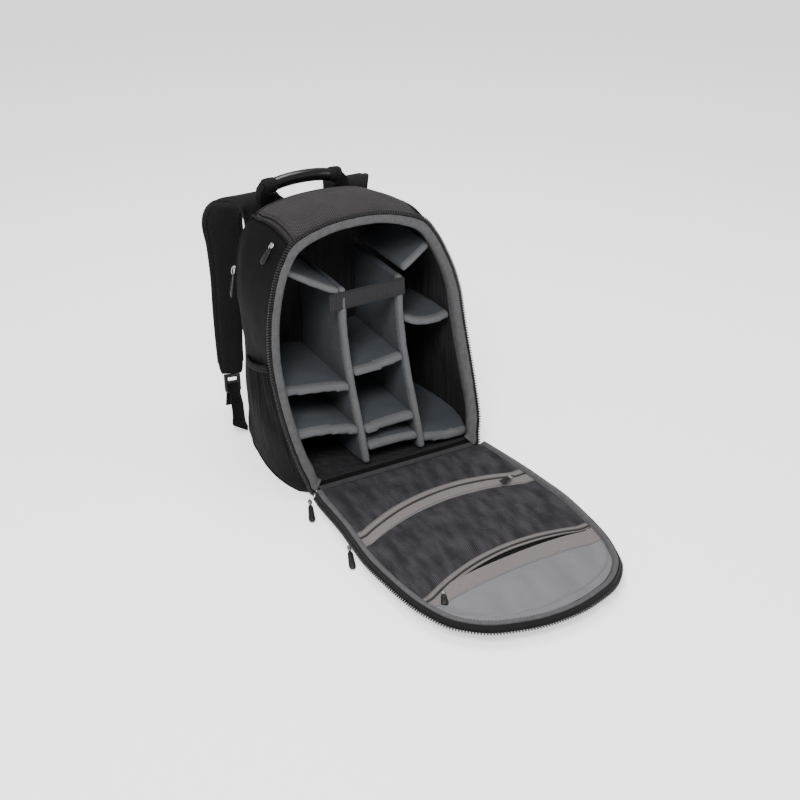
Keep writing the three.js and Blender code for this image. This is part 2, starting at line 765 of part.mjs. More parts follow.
// Hold-down strap across the middle bay, lying on the front edges of the long dividers
function holdStrap() {
  const face = (forward) => (s, t) => {
    const x = lerp(holdStrapLeft, holdStrapRight, s);
    const z = holdStrapZ + holdStrapHeight * (t - 0.5) + 3 * s;
    return new THREE.Vector3(x, rimYAt(z) + dividerSetback - gap - forward, z);
  };
  return slab(4, 1, face(holdStrapThickness), face(0));
}
add('hold_down_strap', holdStrap(), webbing);

// Padded shoulder straps and the webbing that ties each to the foot of the bag
const roundedSection = (width, thickness) => {
  const w = width / 2;
  const h = thickness / 2;
  return [[-w, 0], [-w * 0.93, h * 0.8], [-w * 0.6, h], [w * 0.6, h], [w * 0.93, h * 0.8], [w, 0],
    [w * 0.93, -h * 0.8], [w * 0.6, -h], [-w * 0.6, -h], [-w * 0.93, -h * 0.8]];
};

function stationsAlong(curve, steps, acrossAt) {
  return Array.from({ length: steps + 1 }, (_, i) => {
    const tangent = curve.getTangent(i / steps);
    const b = new THREE.Vector3().crossVectors(tangent, acrossAt(i / steps)).normalize();
    const a = new THREE.Vector3().crossVectors(b, tangent).normalize();
    return { origin: curve.getPoint(i / steps), a, b };
  });
}

function strapCurve(side) {
  const points = strapRows.map((row) => new THREE.Vector3(
    harnessOffset + side * row.out,
    backPlane + strapRootLift + row.behind,
    row.height,
  ));
  return new THREE.CatmullRomCurve3(points, false, 'catmullrom', 0.5);
}

const acrossX = new THREE.Vector3(1, 0, 0);
const upwards = new THREE.Vector3(0, 0, 1);

function ladderLock(width, height, thickness) {
  const shape = new THREE.Shape();
  const w = width / 2;
  const h = height / 2;
  shape.moveTo(-w, -h * 0.7);
  shape.lineTo(-w * 0.8, -h);
  shape.lineTo(w * 0.8, -h);
  shape.lineTo(w, -h * 0.7);
  shape.lineTo(w, h);
  shape.lineTo(-w, h);
  const slotHalf = webbingWidth / 2 + 1;
  for (const slotY of [h * 0.45, -h * 0.35]) {
    const slot = new THREE.Path();
    const slotHeight = 2.5;
    slot.moveTo(-slotHalf, slotY - slotHeight);
    slot.lineTo(slotHalf, slotY - slotHeight);
    slot.lineTo(slotHalf, slotY + slotHeight);
    slot.lineTo(-slotHalf, slotY + slotHeight);
    shape.holes.push(slot);
  }
  const geometry = new THREE.ExtrudeGeometry(shape, { depth: thickness, bevelEnabled: false });
  geometry.translate(0, 0, -thickness / 2);
  return geometry;
}

function carryStrap(side, label) {
  const curve = strapCurve(side);
  const widthAt = (t) => strapWidth - (strapWidth - strapEndWidth) * smoothstep(t, 0.4, 1);
  const thickAt = (t) => strapThickness * (0.55 + 0.45 * smoothstep(t, 0, 0.15)) * (1 - 0.35 * smoothstep(t, 0.85, 1));
  add(`shoulder_strap_${label}`, sweep(
    stationsAlong(curve, 26, () => acrossX),
    (t) => roundedSection(widthAt(t), thickAt(t)),
  ), strapCloth);

  const end = stationsAlong(curve, 1, () => acrossX)[1];
  const down = new THREE.Vector3().crossVectors(end.a, end.b).normalize();
  if (down.z > 0) down.negate();
  const turnedBy = (degrees) => acrossX.clone().applyAxisAngle(upwards, degToRad(-side * degrees));
  const across = turnedBy(buckleTurn);
  across.addScaledVector(down, -across.dot(down)).normalize();
  const out = new THREE.Vector3().crossVectors(across, down).normalize();
  const buckleCentre = end.origin.clone().addScaledVector(down, buckleHeight / 2 + gap);
  const buckle = ladderLock(buckleWidth, buckleHeight, buckleThickness);
  buckle.applyMatrix4(new THREE.Matrix4().makeBasis(across, down.clone().negate(), out.clone().negate()));
  buckle.translate(...buckleCentre.toArray());
  add(`ladder_lock_${label}`, buckle, mouldedBlack);

  const anchorRowOn = side > 0 ? anchorRow : loopRows - anchorRow;
  const anchorFace = (layer) => (s, t) => shellPoint(
    anchorRowOn + (s - 0.5) * anchorRows,
    anchorDepth + (t - 0.5) * anchorDepths,
    layer,
  );
  const anchorOuter = -anchorClear - anchorThickness;
  add(`strap_anchor_${label}`, slab(2, 2, anchorFace(anchorOuter), anchorFace(-anchorClear)), webbing);

  const clear = buckleThickness / 2 + webbingThickness / 2 + gap;
  const start = buckleCentre.clone().addScaledVector(out, -clear);
  const low = start.clone().addScaledVector(down, buckleHeight).addScaledVector(out, -1.5);
  const seat = shellPoint(anchorRowOn, anchorDepth, anchorOuter - webbingSeat);
  const webCurve = new THREE.CatmullRomCurve3([
    start,
    start.clone().addScaledVector(down, buckleHeight * 0.6),
    low,
    low.clone().lerp(seat, 0.55).add(new THREE.Vector3(0, 0, -5)),
    seat,
  ], false, 'catmullrom', 0.5);
  const ribbon = () => [
    [-webbingWidth / 2, -webbingThickness / 2],
    [webbingWidth / 2, -webbingThickness / 2],
    [webbingWidth / 2, webbingThickness / 2],
    [-webbingWidth / 2, webbingThickness / 2],
  ];
  const webTurn = (share) => turnedBy(lerp(buckleTurn, anchorTurn, smoothstep(share, 0.4, 1)));
  add(`strap_webbing_${label}`, sweep(stationsAlong(webCurve, 12, webTurn), ribbon), webbing);

  const tailStart = buckleCentre.clone().addScaledVector(out, clear).addScaledVector(down, -2);
  const tailCurve = new THREE.CatmullRomCurve3([
    tailStart,
    tailStart.clone().addScaledVector(down, tailLength * 0.5),
    tailStart.clone().addScaledVector(down, tailLength).addScaledVector(out, 3),
  ]);
  add(`strap_tail_${label}`, sweep(stationsAlong(tailCurve, 5, () => across), ribbon), webbing);
}
carryStrap(-1, 'left');
carryStrap(1, 'right');

// Grab handle: a moulded grip between two feet of folded webbing, all on one arched line
function handle() {
  const handleY = backPlane + gap + handleFootThickness / 2;
  const points = handleRows.map((row) => new THREE.Vector3(
    handleOffset + row.across * handleSpacing,
    handleY - handleForward * smoothstep(row.height, 344, 368),
    row.height,
  ));
  const line = new THREE.CatmullRomCurve3(points, false, 'catmullrom', 0.5);
  const part = (start, end, steps) => Array.from(
    { length: steps + 1 },
    (_, i) => line.getPoint(lerp(start, end, i / steps)),
  );
  const circle = new THREE.Shape();
  circle.absarc(0, 0, handleRadius, 0, 2 * Math.PI);
  const endGap = 0.008;
  const grip = new THREE.ExtrudeGeometry(circle, {
    steps: 10,
    curveSegments: 10,
    bevelEnabled: false,
    extrudePath: new THREE.CatmullRomCurve3(part(gripStart + endGap, 1 - gripStart - endGap, 8)),
  });
  add('handle_grip', grip, mouldedBlack);
  const footSteps = 10;
  const across = new THREE.Vector3(0, 1, 0);
  for (const [start, end, label] of [[0, gripStart - endGap, 'left'], [1, 1 - gripStart + endGap, 'right']]) {
    const sections = part(start, end, footSteps).map((origin, i) => {
      const share = i / footSteps;
      const tangent = line.getTangent(lerp(start, end, share));
      const sideways = new THREE.Vector3().crossVectors(tangent, across).normalize();
      const w = lerp(handleFootWidth / 2, handleRadius + 1, smoothstep(share, 0.35, 0.9));
      const h = lerp(handleFootThickness / 2, handleRadius + 0.5, smoothstep(share, 0.5, 1));
      return [[-h, -w], [h, -w], [h, w], [-h, w]].map(([back, side]) => origin.clone()
        .addScaledVector(across, back)
        .addScaledVector(sideways, side));
    });
    add(`handle_foot_${label}`, skin(sections, [[-1, -1], [1, -1], [1, 1], [-1, 1]]), webbing);
  }
}
handle();

// Mesh pockets on both sides: sheets that stand off the wall, with an elastic hem
function sidePocket(side, label) {
  const rowFor = (row) => (side > 0 ? row : loopRows - row);
  const standOff = (s, t) => sidePocketBulge * Math.sin(Math.PI * t) ** 0.8 * smoothstep(s, 0, 1);
  const depthAt = (t) => lerp(sidePocketStart, sidePocketEnd, t);
  const hemRow = (t, above) => rowAtHeight(depthAt(t), lerp(sidePocketFront, sidePocketBack, t) + above);
  const sheet = (lift) => (s, t) => {
    const row = lerp(sidePocketFootRow, hemRow(t, 0), s);
    return shellPoint(rowFor(row), depthAt(t), -sidePocketClear - standOff(s, t) - lift);
  };
  add(`side_pocket_${label}`, slab(8, 12, sheet(sidePocketThickness), sheet(0)), meshCloth);
  const hemSheet = (lift) => (s, t) => {
    const row = hemRow(t, gap + hemHeight * s);
    return shellPoint(rowFor(row), depthAt(t), -sidePocketClear - standOff(1, t) - lift);
  };
  add(`side_pocket_hem_${label}`, slab(1, 12, hemSheet(hemThickness), hemSheet(0)), webbing);
}
sidePocket(-1, 'left');
sidePocket(1, 'right');

// Zip pulls: a slider and its moulded cord pull as one piece, from head to tail
function zipPull(name, head, tail, up) {
  const line = new THREE.CatmullRomCurve3([
    head,
    head.clone().lerp(tail, 0.5),
    tail,
  ]);
  const rows = [
    { at: 0, width: 1.1, thick: 1.2 },
    { at: 0.22, width: 1.1, thick: 1.2 },
    { at: 0.26, width: 0.5, thick: 0.6 },
    { at: 0.4, width: 0.7, thick: 0.8 },
    { at: 0.9, width: 1, thick: 1 },
    { at: 1, width: 0.6, thick: 0.6 },
  ];
  const stations = rows.map((row) => {
    const tangent = line.getTangent(row.at);
    const a = new THREE.Vector3().crossVectors(up, tangent).normalize();
    return { origin: line.getPoint(row.at), a, b: new THREE.Vector3().crossVectors(tangent, a).normalize() };
  });
  add(name, sweep(stations, (t) => {
    const row = rows[Math.round(t * (rows.length - 1))];
    const w = (pullWidth / 2) * row.width;
    const h = (pullThickness / 2) * row.thick;
    return [[-w, -h * 0.4], [-w * 0.5, -h], [w * 0.5, -h], [w, -h * 0.4],
      [w, h * 0.4], [w * 0.5, h], [-w * 0.5, h], [-w, h * 0.4]];
  }), mouldedBlack);
}
zipPull('zip_pull_rim', new THREE.Vector3(-149, -97, 6.5), new THREE.Vector3(-167, -143, 2.9), upwards);
zipPull('zip_pull_lid_pocket', new THREE.Vector3(-150, -221, 4.5), new THREE.Vector3(-168, -268, 2.9), upwards);
const leftRow = (depth, height) => loopRows - rowAtHeight(depth, height);
const pullLift = pullThickness / 2 + 1.5;
const cornerLift = 2.5;
const rearHang = 8;
zipPull(
  'zip_pull_side_upper',
  shellPoint(leftRow(0.12, 346), 0.12, -pullLift - cornerLift),
  shellPoint(leftRow(0.18, 316), 0.18, -pullLift - cornerLift),
  shellNormal(leftRow(0.15, 330), 0.15),
);
zipPull(
  'zip_pull_side_rear',
  shellPoint(leftRow(0.62, 284), 0.62, -pullLift),
  shellPoint(leftRow(0.68, 238), 0.68, -pullLift - rearHang),
  shellNormal(leftRow(0.65, 260), 0.65),
);
const bandPull = (name, x, along, length, turn) => {
  const lift = gap + bandThickness + pullThickness * 0.6 + gap;
  const headPoint = lidPoint(x, along, lidTop + lift + mouthRise(x, along));
  const tailX = x + length * Math.cos(degToRad(turn));
  const tailAlong = along + length * Math.sin(degToRad(turn));
  const tailPoint = lidPoint(tailX, tailAlong, lidTop + lift + mouthRise(tailX, tailAlong));
  zipPull(name, headPoint, tailPoint, upwards);
};
bandPull('zip_pull_band_hinge', 118, firstBandFar(118) - 14, 24, 160);
bandPull('zip_pull_band_tip', -106, secondBandFar(-106) + 3, 24, 115);

export default group;
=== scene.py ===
"""Camera backpack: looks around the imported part. Sizes in millimetres unless a name says otherwise."""

import math

import bmesh
import bpy
import numpy as np
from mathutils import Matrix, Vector, noise


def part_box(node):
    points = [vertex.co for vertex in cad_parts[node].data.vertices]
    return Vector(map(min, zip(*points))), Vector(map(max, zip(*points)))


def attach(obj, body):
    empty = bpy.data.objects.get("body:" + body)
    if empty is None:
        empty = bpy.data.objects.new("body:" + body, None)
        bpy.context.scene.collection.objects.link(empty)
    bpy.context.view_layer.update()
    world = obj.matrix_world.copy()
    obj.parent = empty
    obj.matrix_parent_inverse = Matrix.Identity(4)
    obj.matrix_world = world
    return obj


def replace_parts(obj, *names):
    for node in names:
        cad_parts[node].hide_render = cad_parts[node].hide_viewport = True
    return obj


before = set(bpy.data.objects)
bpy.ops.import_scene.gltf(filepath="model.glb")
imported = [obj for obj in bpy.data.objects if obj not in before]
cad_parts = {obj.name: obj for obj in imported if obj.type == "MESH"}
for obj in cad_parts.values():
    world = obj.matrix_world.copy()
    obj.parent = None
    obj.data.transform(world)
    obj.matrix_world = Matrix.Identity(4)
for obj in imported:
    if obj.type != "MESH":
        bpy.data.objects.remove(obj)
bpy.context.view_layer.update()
BODY = "root"
MM = 0.001

# Camera, in metres
CAMERA_AT = (-0.7863, -1.5097, 1.0200)
CAMERA_TARGET = (-0.01688, -0.12344, 0.14623)
CAMERA_LENS_MM = 58.3155
SENSOR_MM = 36

# Shell, as in the part
RIM_HALF_WIDTH = 157
RIM_FOOT = 8
RIM_CROWN = 382
RIM_TOP_Y = -9
RIM_FLARE = 74
FLARE_HEIGHT = 250
SIDE_HALF_WIDTH = 157
SIDE_HEIGHT = 388
SIDE_Y = 77
BACK_HALF_WIDTH = 98
BACK_FOOT = 72
BACK_TOP = 328
BACK_Y = 155
BACK_SWEEP = 80
CROWN_RISE = 10
FOOT_RUN = 0.16
FOOT_BULGE = 0.045
WALL = 12
LEAN = 13
SLUMP_IN = 12
SLUMP_IN_BEHIND = 4
SLUMP_DOWN = 3
SLUMP_DOWN_BEHIND = 11
BASE_END_ROW = 2.5
TOP_START_ROW = 11.8
SEAM_ROW_GAP = 0.004

TAPE_OVERHANG = 3
TAPE_REACH = 4.2
TAPE_THICKNESS = 1.6
TRIM_LIFT = 0.8
BINDING_REACH = 15.2
BINDING_RETURN = 10
TOOTH_PITCH = 3.9

LID_HALF_WIDTH = 158
LID_LENGTH = 407
LID_HINGE_Y = -95
LID_CENTRE_X = 2
LID_INSET = 11
LID_BOTTOM = 7.5
LID_TOP = 17
LID_EDGE_RISE = 8
LID_EDGE_RUN = 120
LID_BINDING_WIDTH = 11.5
MESH_BULGE = 7
MOUTH_RISE = 6.5
SHEET_LIFT = 0.4

HARNESS_OFFSET = -20
STRAP_ROOT_LIFT = 8
STRAP_WIDTH = 66
STRAP_END_WIDTH = 40
STRAP_THICKNESS = 13
SIDE_POCKET_FOOT_ROW = 4.3
SIDE_POCKET_FRONT = 173
SIDE_POCKET_BACK = 146
SIDE_POCKET_BULGE = 9
SIDE_POCKET_DEPTHS = (0.06, 0.56)

OUTLINE_COLUMNS = ("rim_w", "rim_h", "side_w", "side_h", "back_w", "back_h")
OUTLINE_ROWS = (
    (0, 0, 0, 0, 0, 0),
    (0.4, 0, 0.44, 0, 0.42, 0),
    (0.78, 0, 0.92, 0, 0.76, 0.01),
    (0.88, 0.006, 0.98, 0.006, 0.92, 0.08),
    (0.905, 0.05, 0.985, 0.05, 0.985, 0.18),
    (0.95, 0.12, 0.975, 0.14, 1, 0.28),
    (0.985, 0.24, 0.965, 0.27, 1, 0.38),
    (1, 0.38, 0.95, 0.42, 1, 0.48),
    (0.99, 0.53, 0.955, 0.56, 1, 0.58),
    (0.95, 0.67, 0.97, 0.7, 0.98, 0.69),
    (0.885, 0.785, 0.94, 0.81, 0.94, 0.79),
    (0.8, 0.875, 0.86, 0.895, 0.85, 0.88),
    (0.665, 0.945, 0.71, 0.955, 0.68, 0.95),
    (0.37, 0.988, 0.4, 0.99, 0.38, 0.99),
    (0, 1, 0, 1, 0, 1),
)
CROWN_ROW = len(OUTLINE_ROWS) - 1
LOOP_ROWS = 2 * CROWN_ROW
# Rim: share of the height, share of the flare
FLARE = ((0, 1), (0.17, 0.81), (0.37, 0.51), (0.58, 0.24), (0.77, 0.07), (1, 0))
# Lid: share of the length, share of the half width
LID_OUTLINE = (
    (0, 0.905), (0.04, 0.918), (0.093, 0.932), (0.18, 0.945), (0.26, 0.958), (0.36, 0.98), (0.467, 1),
    (0.59, 0.985), (0.715, 0.948), (0.803, 0.888), (0.875, 0.8), (0.945, 0.6), (0.982, 0.34), (0.998, 0.12),
)
LINE_REACH = 140
# Lines across the lid: nearest to the hinge, bend, where it is nearest
LID_LINES = {
    "first_start": (76, 37, 27),
    "first_end": (112, 34, 27),
    "second_start": (240, 35, 42),
    "second_end": (255, 33, 46),
    "mouth_end": (272, 9, 85),
    "facing_end": (298, 11, 60),
}
# Shoulder strap: behind the back, height, out from the middle
STRAP_ROWS = (
    (0, 316, 64), (2, 342, 66), (13, 357, 73), (35, 356, 87), (58, 343, 99), (75, 315, 104),
    (82, 276, 100), (80, 222, 101), (70, 165, 108), (52, 115, 116), (34, 74, 122),
)

# Panels and cloths
PANEL_DEPTH_STEPS = 52
BACK_RINGS = 26
DISC_RINGS = 16
BAND_COLUMNS = 90
MESH_COLUMNS = 120
NET_THICKNESS = 0.8
BAND_THICKNESS = 1.2
BAND_LIFT = SHEET_LIFT + 1.8
SEAM_LIFT = SHEET_LIFT + 2.9
ZIP_LIFT = SHEET_LIFT + 3.0
HEM_HEIGHT = 10.3

# Stitches: pitch, length, width
TOP_STITCH = (4.0, 2.6, 0.7)
EDGE_STITCH = (4.4, 2.4, 0.6)
FINE_STITCH = (3.6, 2.2, 0.6)
STRAP_STITCH = (3.4, 2.2, 0.5)

X_AXIS = np.array([1.0, 0.0, 0.0])
Y_AXIS = np.array([0.0, 1.0, 0.0])
Z_AXIS = np.array([0.0, 0.0, 1.0])


def smoothstep(x, low, high):
    t = np.clip((np.asarray(x, float) - low) / (high - low), 0, 1)
    return t * t * (3 - 2 * t)


def mix(a, b, share):
    return a + (b - a) * share


def bell(x, middle, width):
    return np.exp(-((x - middle) / width) ** 2)


def cubic(a, b, start, end, t):
    """Smooth curve from a to b with slopes at its start and end."""
    t2, t3 = t * t, t * t * t
    return a * (2 * t3 - 3 * t2 + 1) + start * (t3 - 2 * t2 + t) + b * (3 * t2 - 2 * t3) + end * (t3 - t2)


def table_at(rows, x):
    """Second column of a table at a place along its first, smoothly between the rows."""
    along, value = np.array(rows, float).T
    x = np.asarray(x, float)
    last = len(along) - 1
    i = np.clip(np.searchsorted(along, x, side="left") - 1, 0, last - 1)
    before, after = np.maximum(i - 1, 0), np.minimum(i + 2, last)
    span = along[i + 1] - along[i]
    start = (value[i + 1] - value[before]) / (along[i + 1] - along[before]) * span
    end = (value[after] - value[i]) / (along[after] - along[i]) * span
    return cubic(value[i], value[i + 1], start, end, (x - along[i]) / span)


def spline(points, place, closed=False):
    """Points of a smooth curve through points, at places counted in points from the first."""
    points = np.array(points, float)
    count = len(points)
    place = np.asarray(place, float)
    if closed:
        place = place % count
        i = np.floor(place).astype(int)
        p = [points[(i + k) % count] for k in (-1, 0, 1, 2)]
    else:
        i = np.clip(np.floor(place).astype(int), 0, count - 2)
        longer = np.vstack([2 * points[0] - points[1], points, 2 * points[-1] - points[-2]])
        p = [longer[i + k] for k in (0, 1, 2, 3)]
    return cubic(p[1], p[2], 0.5 * (p[2] - p[0]), 0.5 * (p[3] - p[1]), (place - i)[..., None])


def outline(kind, layer):
    """Rows of one outline of the shell, a layer inside its outer face, once round."""
    width, height = OUTLINE_COLUMNS.index(kind + "_w"), OUTLINE_COLUMNS.index(kind + "_h")
    half, foot, top = {
        "rim": (RIM_HALF_WIDTH - layer, RIM_FOOT + layer, RIM_CROWN - layer),
        "side": (SIDE_HALF_WIDTH - layer, layer, SIDE_HEIGHT - layer),
        "back": (BACK_HALF_WIDTH - layer / 2, BACK_FOOT + layer / 2, BACK_TOP - layer / 2),
    }[kind]
    right = [(row[width] * half, mix(foot, top, row[height])) for row in OUTLINE_ROWS]
    return right + [(-x, z) for x, z in reversed(right[1:-1])]


def rim_y(z):
    share = np.clip((np.asarray(z, float) - RIM_FOOT) / (FLARE_HEIGHT - RIM_FOOT), 0, 1)
    return RIM_TOP_Y - RIM_FLARE * table_at(FLARE, share)


def shell(row, depth, layer=0.0):
    """Points of the shell: row around the loop, depth 0 at the zip line to 1 at the back."""
    row, depth = np.broadcast_arrays(np.asarray(row, float), np.asarray(depth, float))
    rim, side, back = (spline(outline(kind, layer), row, closed=True) for kind in ("rim", "side", "back"))
    t = np.minimum(depth * 2, 1)
    foot_share = 1 - smoothstep(side[..., 1], layer, layer + 0.1 * SIDE_HEIGHT)
    share = mix(t, 1 - np.maximum(0, 1 - t / FOOT_RUN), foot_share)
    crown = smoothstep(side[..., 1] + layer, 0.8 * SIDE_HEIGHT, SIDE_HEIGHT)
    low = 1 - smoothstep(side[..., 1], 0.15 * SIDE_HEIGHT, 0.4 * SIDE_HEIGHT)
    bulge = 1 + FOOT_BULGE * low * 4 * t * (1 - t)
    front = np.stack([
        mix(rim[..., 0], side[..., 0], mix(t, 1 - (1 - t) ** 4, low)) * bulge,
        mix(rim_y(rim[..., 1]), SIDE_Y, t),
        mix(rim[..., 1], side[..., 1], share) + CROWN_RISE * crown * 4 * t * (1 - t),
    ], -1)
    turn = np.radians(np.maximum(depth - 0.5, 0) * 2 * BACK_SWEEP)
    inward = 1 - np.cos(turn)
    rear = np.stack([
        mix(side[..., 0], back[..., 0], inward),
        mix(SIDE_Y, BACK_Y - layer, np.sin(turn)),
        mix(side[..., 1], back[..., 1], inward),
    ], -1)
    point = np.where((depth <= 0.5)[..., None], front, rear)
    slump = smoothstep(point[..., 0], -20, 90) * smoothstep(point[..., 2], 225, 355)
    behind = np.minimum(depth / 0.4, 1)
    point[..., 0] += -LEAN * point[..., 2] / SIDE_HEIGHT - slump * (SLUMP_IN + SLUMP_IN_BEHIND * behind)
    corner = smoothstep(point[..., 0], 30, 115)
    point[..., 2] -= slump * (SLUMP_DOWN + SLUMP_DOWN_BEHIND * behind * corner)
    return point


def unit(vectors):
    length = np.linalg.norm(vectors, axis=-1, keepdims=True)
    return vectors / np.maximum(length, 1e-9)


def shell_normal(row, depth):
    step = 0.02
    around = shell(np.add(row, step), depth) - shell(np.subtract(row, step), depth)
    deeper, nearer = np.minimum(np.add(depth, step), 1), np.maximum(np.subtract(depth, step), 0)
    along = shell(row, deeper) - shell(row, nearer)
    normal = unit(np.cross(around, along))
    outward = shell(row, depth) - np.array([0, SIDE_Y / 2, SIDE_HEIGHT / 2])
    flip = np.sign((normal * outward).sum(-1, keepdims=True))
    return normal * np.where(flip == 0, 1, flip)


def shell_path(rows, depths, lift):
    rows, depths = np.broadcast_arrays(np.asarray(rows, float), np.asarray(depths, float))
    return shell(rows, depths) + shell_normal(rows, depths) * lift


def row_at(depth, height):
    """Row on the right half at which the outer face passes a height."""
    low, high = 0.0, float(CROWN_ROW)
    for _ in range(24):
        middle = (low + high) / 2
        if shell(middle, depth)[2] < height:
            low = middle
        else:
            high = middle
    return low


# Meshes

def soft_noise(points, scale, seed=0.0):
    """Smooth noise from -1 to 1 at points, with lumps of about scale millimetres."""
    flat = np.asarray(points, float).reshape(-1, 3) / scale + seed
    values = [noise.noise(Vector(p)) for p in flat]
    return np.array(values).reshape(np.asarray(points).shape[:-1])


def add_object(name, data):
    thing = bpy.data.objects.new(name, data)
    bpy.context.scene.collection.objects.link(thing)
    return thing


def node_points(node):
    return np.array([v.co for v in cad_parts[node].data.vertices]) / MM


def node_box(node):
    return (tuple(v / MM for v in corner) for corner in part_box(node))


def new_mesh(name, vertices, faces, material, uv=None, sharp=40):
    mesh = bpy.data.meshes.new(name)
    mesh.from_pydata((np.asarray(vertices, float).reshape(-1, 3) * MM).tolist(), [], faces)
    if uv is not None:
        layer = mesh.uv_layers.new(name="UVMap")
        corner = np.empty(len(mesh.loops), int)
        mesh.loops.foreach_get("vertex_index", corner)
        layer.data.foreach_set("uv", (np.asarray(uv, float).reshape(-1, 2)[corner] * MM).ravel())
    work = bmesh.new()
    work.from_mesh(mesh)
    bmesh.ops.recalc_face_normals(work, faces=work.faces)
    work.to_mesh(mesh)
    work.free()
    mesh.shade_smooth()
    mesh.set_sharp_from_angle(angle=math.radians(sharp))
    mesh.materials.append(material)
    piece = add_object(name, mesh)
    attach(piece, BODY)
    return piece


def line_inside(piece, inside):
    """Puts the lining on the faces that lie inside."""
    piece.data.materials.append(LINING)
    for face in piece.data.polygons:
        if inside(face):
            face.material_index = 1


def distance_along(path):
    return np.concatenate([[0], np.cumsum(np.linalg.norm(np.diff(path, axis=0), axis=-1))])


def grid_faces(rows, columns, offset=0, flip=False):
    i, j = np.meshgrid(np.arange(rows - 1), np.arange(columns - 1), indexing="ij")
    a = (i * columns + j).ravel() + offset
    quads = np.stack([a, a + columns, a + columns + 1, a + 1], 1)
    return (quads[:, ::-1] if flip else quads).tolist()


def grid_uv(points):
    """Distances along both ways of a grid, from its middle."""
    down = np.zeros(points.shape[:2])
    down[1:] = np.cumsum(np.linalg.norm(np.diff(points, axis=0), axis=-1), axis=0)
    across = np.zeros(points.shape[:2])
    across[:, 1:] = np.cumsum(np.linalg.norm(np.diff(points, axis=1), axis=-1), axis=1)
    down = np.broadcast_to(down.mean(1, keepdims=True), down.shape)
    return np.stack([across - across[:, [points.shape[1] // 2]], down], -1)


def slab(name, outer, inner, material):
    """Closed piece between two grids of points."""
    rows, columns = outer.shape[:2]
    size = rows * columns
    faces = grid_faces(rows, columns) + grid_faces(rows, columns, size, True)
    rim = [(i, 0) for i in range(rows)] + [(rows - 1, j) for j in range(1, columns)]
    rim += [(i, columns - 1) for i in range(rows - 2, -1, -1)] + [(0, j) for j in range(columns - 2, 0, -1)]
    loop = [i * columns + j for i, j in rim]
    faces += [(a, b, b + size, a + size) for a, b in zip(loop, loop[1:] + loop[:1])]
    uv = np.stack([grid_uv(outer)] * 2)
    return new_mesh(name, np.stack([outer, inner]), faces, material, uv)


def bridge(a, b, count):
    """Faces between two rings of count points, which start at points a and b."""
    return [(a + i, a + (i + 1) % count, b + (i + 1) % count, b + i) for i in range(count)]


def tube_faces(rings, corners, closed=False):
    """Sides of rings of corners laid one after another, and both ends unless it is closed."""
    faces = []
    for i in range(rings if closed else rings - 1):
        faces += bridge(i * corners, (i + 1) % rings * corners, corners)
    if not closed:
        faces += [tuple(range(corners))[::-1], tuple(range((rings - 1) * corners, rings * corners))]
    return faces


def loft(name, rings, spine, material, sharp=40, closed=False):
    """Closed piece through rings of points, its cloth running along a spine."""
    around = np.cumsum(np.linalg.norm(np.diff(rings, axis=1, prepend=rings[:, :1]), axis=-1), axis=1)
    uv = np.stack([around, np.broadcast_to(distance_along(spine)[:, None], around.shape)], -1)
    return new_mesh(name, rings, tube_faces(*rings.shape[:2], closed), material, uv, sharp)


def frames_along(path, across):
    """Tangent and two crosswise directions at each point of a path; a follows across."""
    tangent = unit(np.gradient(path, axis=0))
    b = unit(np.cross(tangent, np.broadcast_to(across, path.shape)))
    return tangent, unit(np.cross(b, tangent)), b


def swept(name, path, across, sections, material, closed=False):
    """Closed piece along a path; sections holds corners along a and b for each point, or one set for all."""
    _, a, b = frames_along(path, across)
    sections = np.broadcast_to(np.asarray(sections, float), (len(path), *np.shape(sections)[-2:]))
    rings = path[:, None] + sections[..., :1] * a[:, None] + sections[..., 1:] * b[:, None]
    return loft(name, rings, path, material, closed=closed)


def ring(radius_a, radius_b=None, corners=10):
    radius_b = radius_a if radius_b is None else radius_b
    turns = [2 * math.pi * k / corners for k in range(corners)]
    return [(radius_a * math.cos(turn), radius_b * math.sin(turn)) for turn in turns]


def spaced(path, pitch):
    """Points along a path a pitch apart, and the number of the path's point nearest to each."""
    along = distance_along(path)
    count = max(int(along[-1] / pitch), 1)
    wanted = (np.arange(count) + 0.5) * along[-1] / count
    nearest = np.round(np.interp(wanted, along, np.arange(len(path)))).astype(int)
    return np.stack([np.interp(wanted, along, path[:, k]) for k in range(3)], -1), nearest


def studs(name, centres, forward, sideways, up, size, material, slot=None, taper=0.7):
    """Many small rounded bars as one piece: size is along forward, sideways and up."""
    length, width, height = (s / 2 for s in size)
    ends = ((-1, taper), (-0.6, 1), (0.6, 1), (1, taper))
    corners = ((-1, -0.5), (-0.5, -1), (0.5, -1), (1, -0.5), (1, 0.5), (0.5, 1), (-0.5, 1), (-1, 0.5))
    bar = np.array([(e * length, y * width * w, z * height * w) for e, w in ends for y, z in corners])
    vertices = centres[:, None] + bar[None, :, :1] * forward[:, None] \
        + bar[None, :, 1:2] * sideways[:, None] + bar[None, :, 2:] * up[:, None]
    single = tube_faces(len(ends), len(corners))
    faces = [tuple(v + k * len(bar) for v in face) for k in range(len(centres)) for face in single]
    return new_mesh(name, vertices, faces, material, None, 60)


def stitches(name, path, across, kind, material):
    """A run of thread stitches lying along a path."""
    pitch, length, width = kind
    tangent, a, b = frames_along(path, across)
    centres, near = spaced(path, pitch)
    studs(name, centres, tangent[near], a[near], b[near], (length, width, width), material)


# Materials

def tinted(colour, share):
    return tuple(min(c * share, 1) for c in colour)


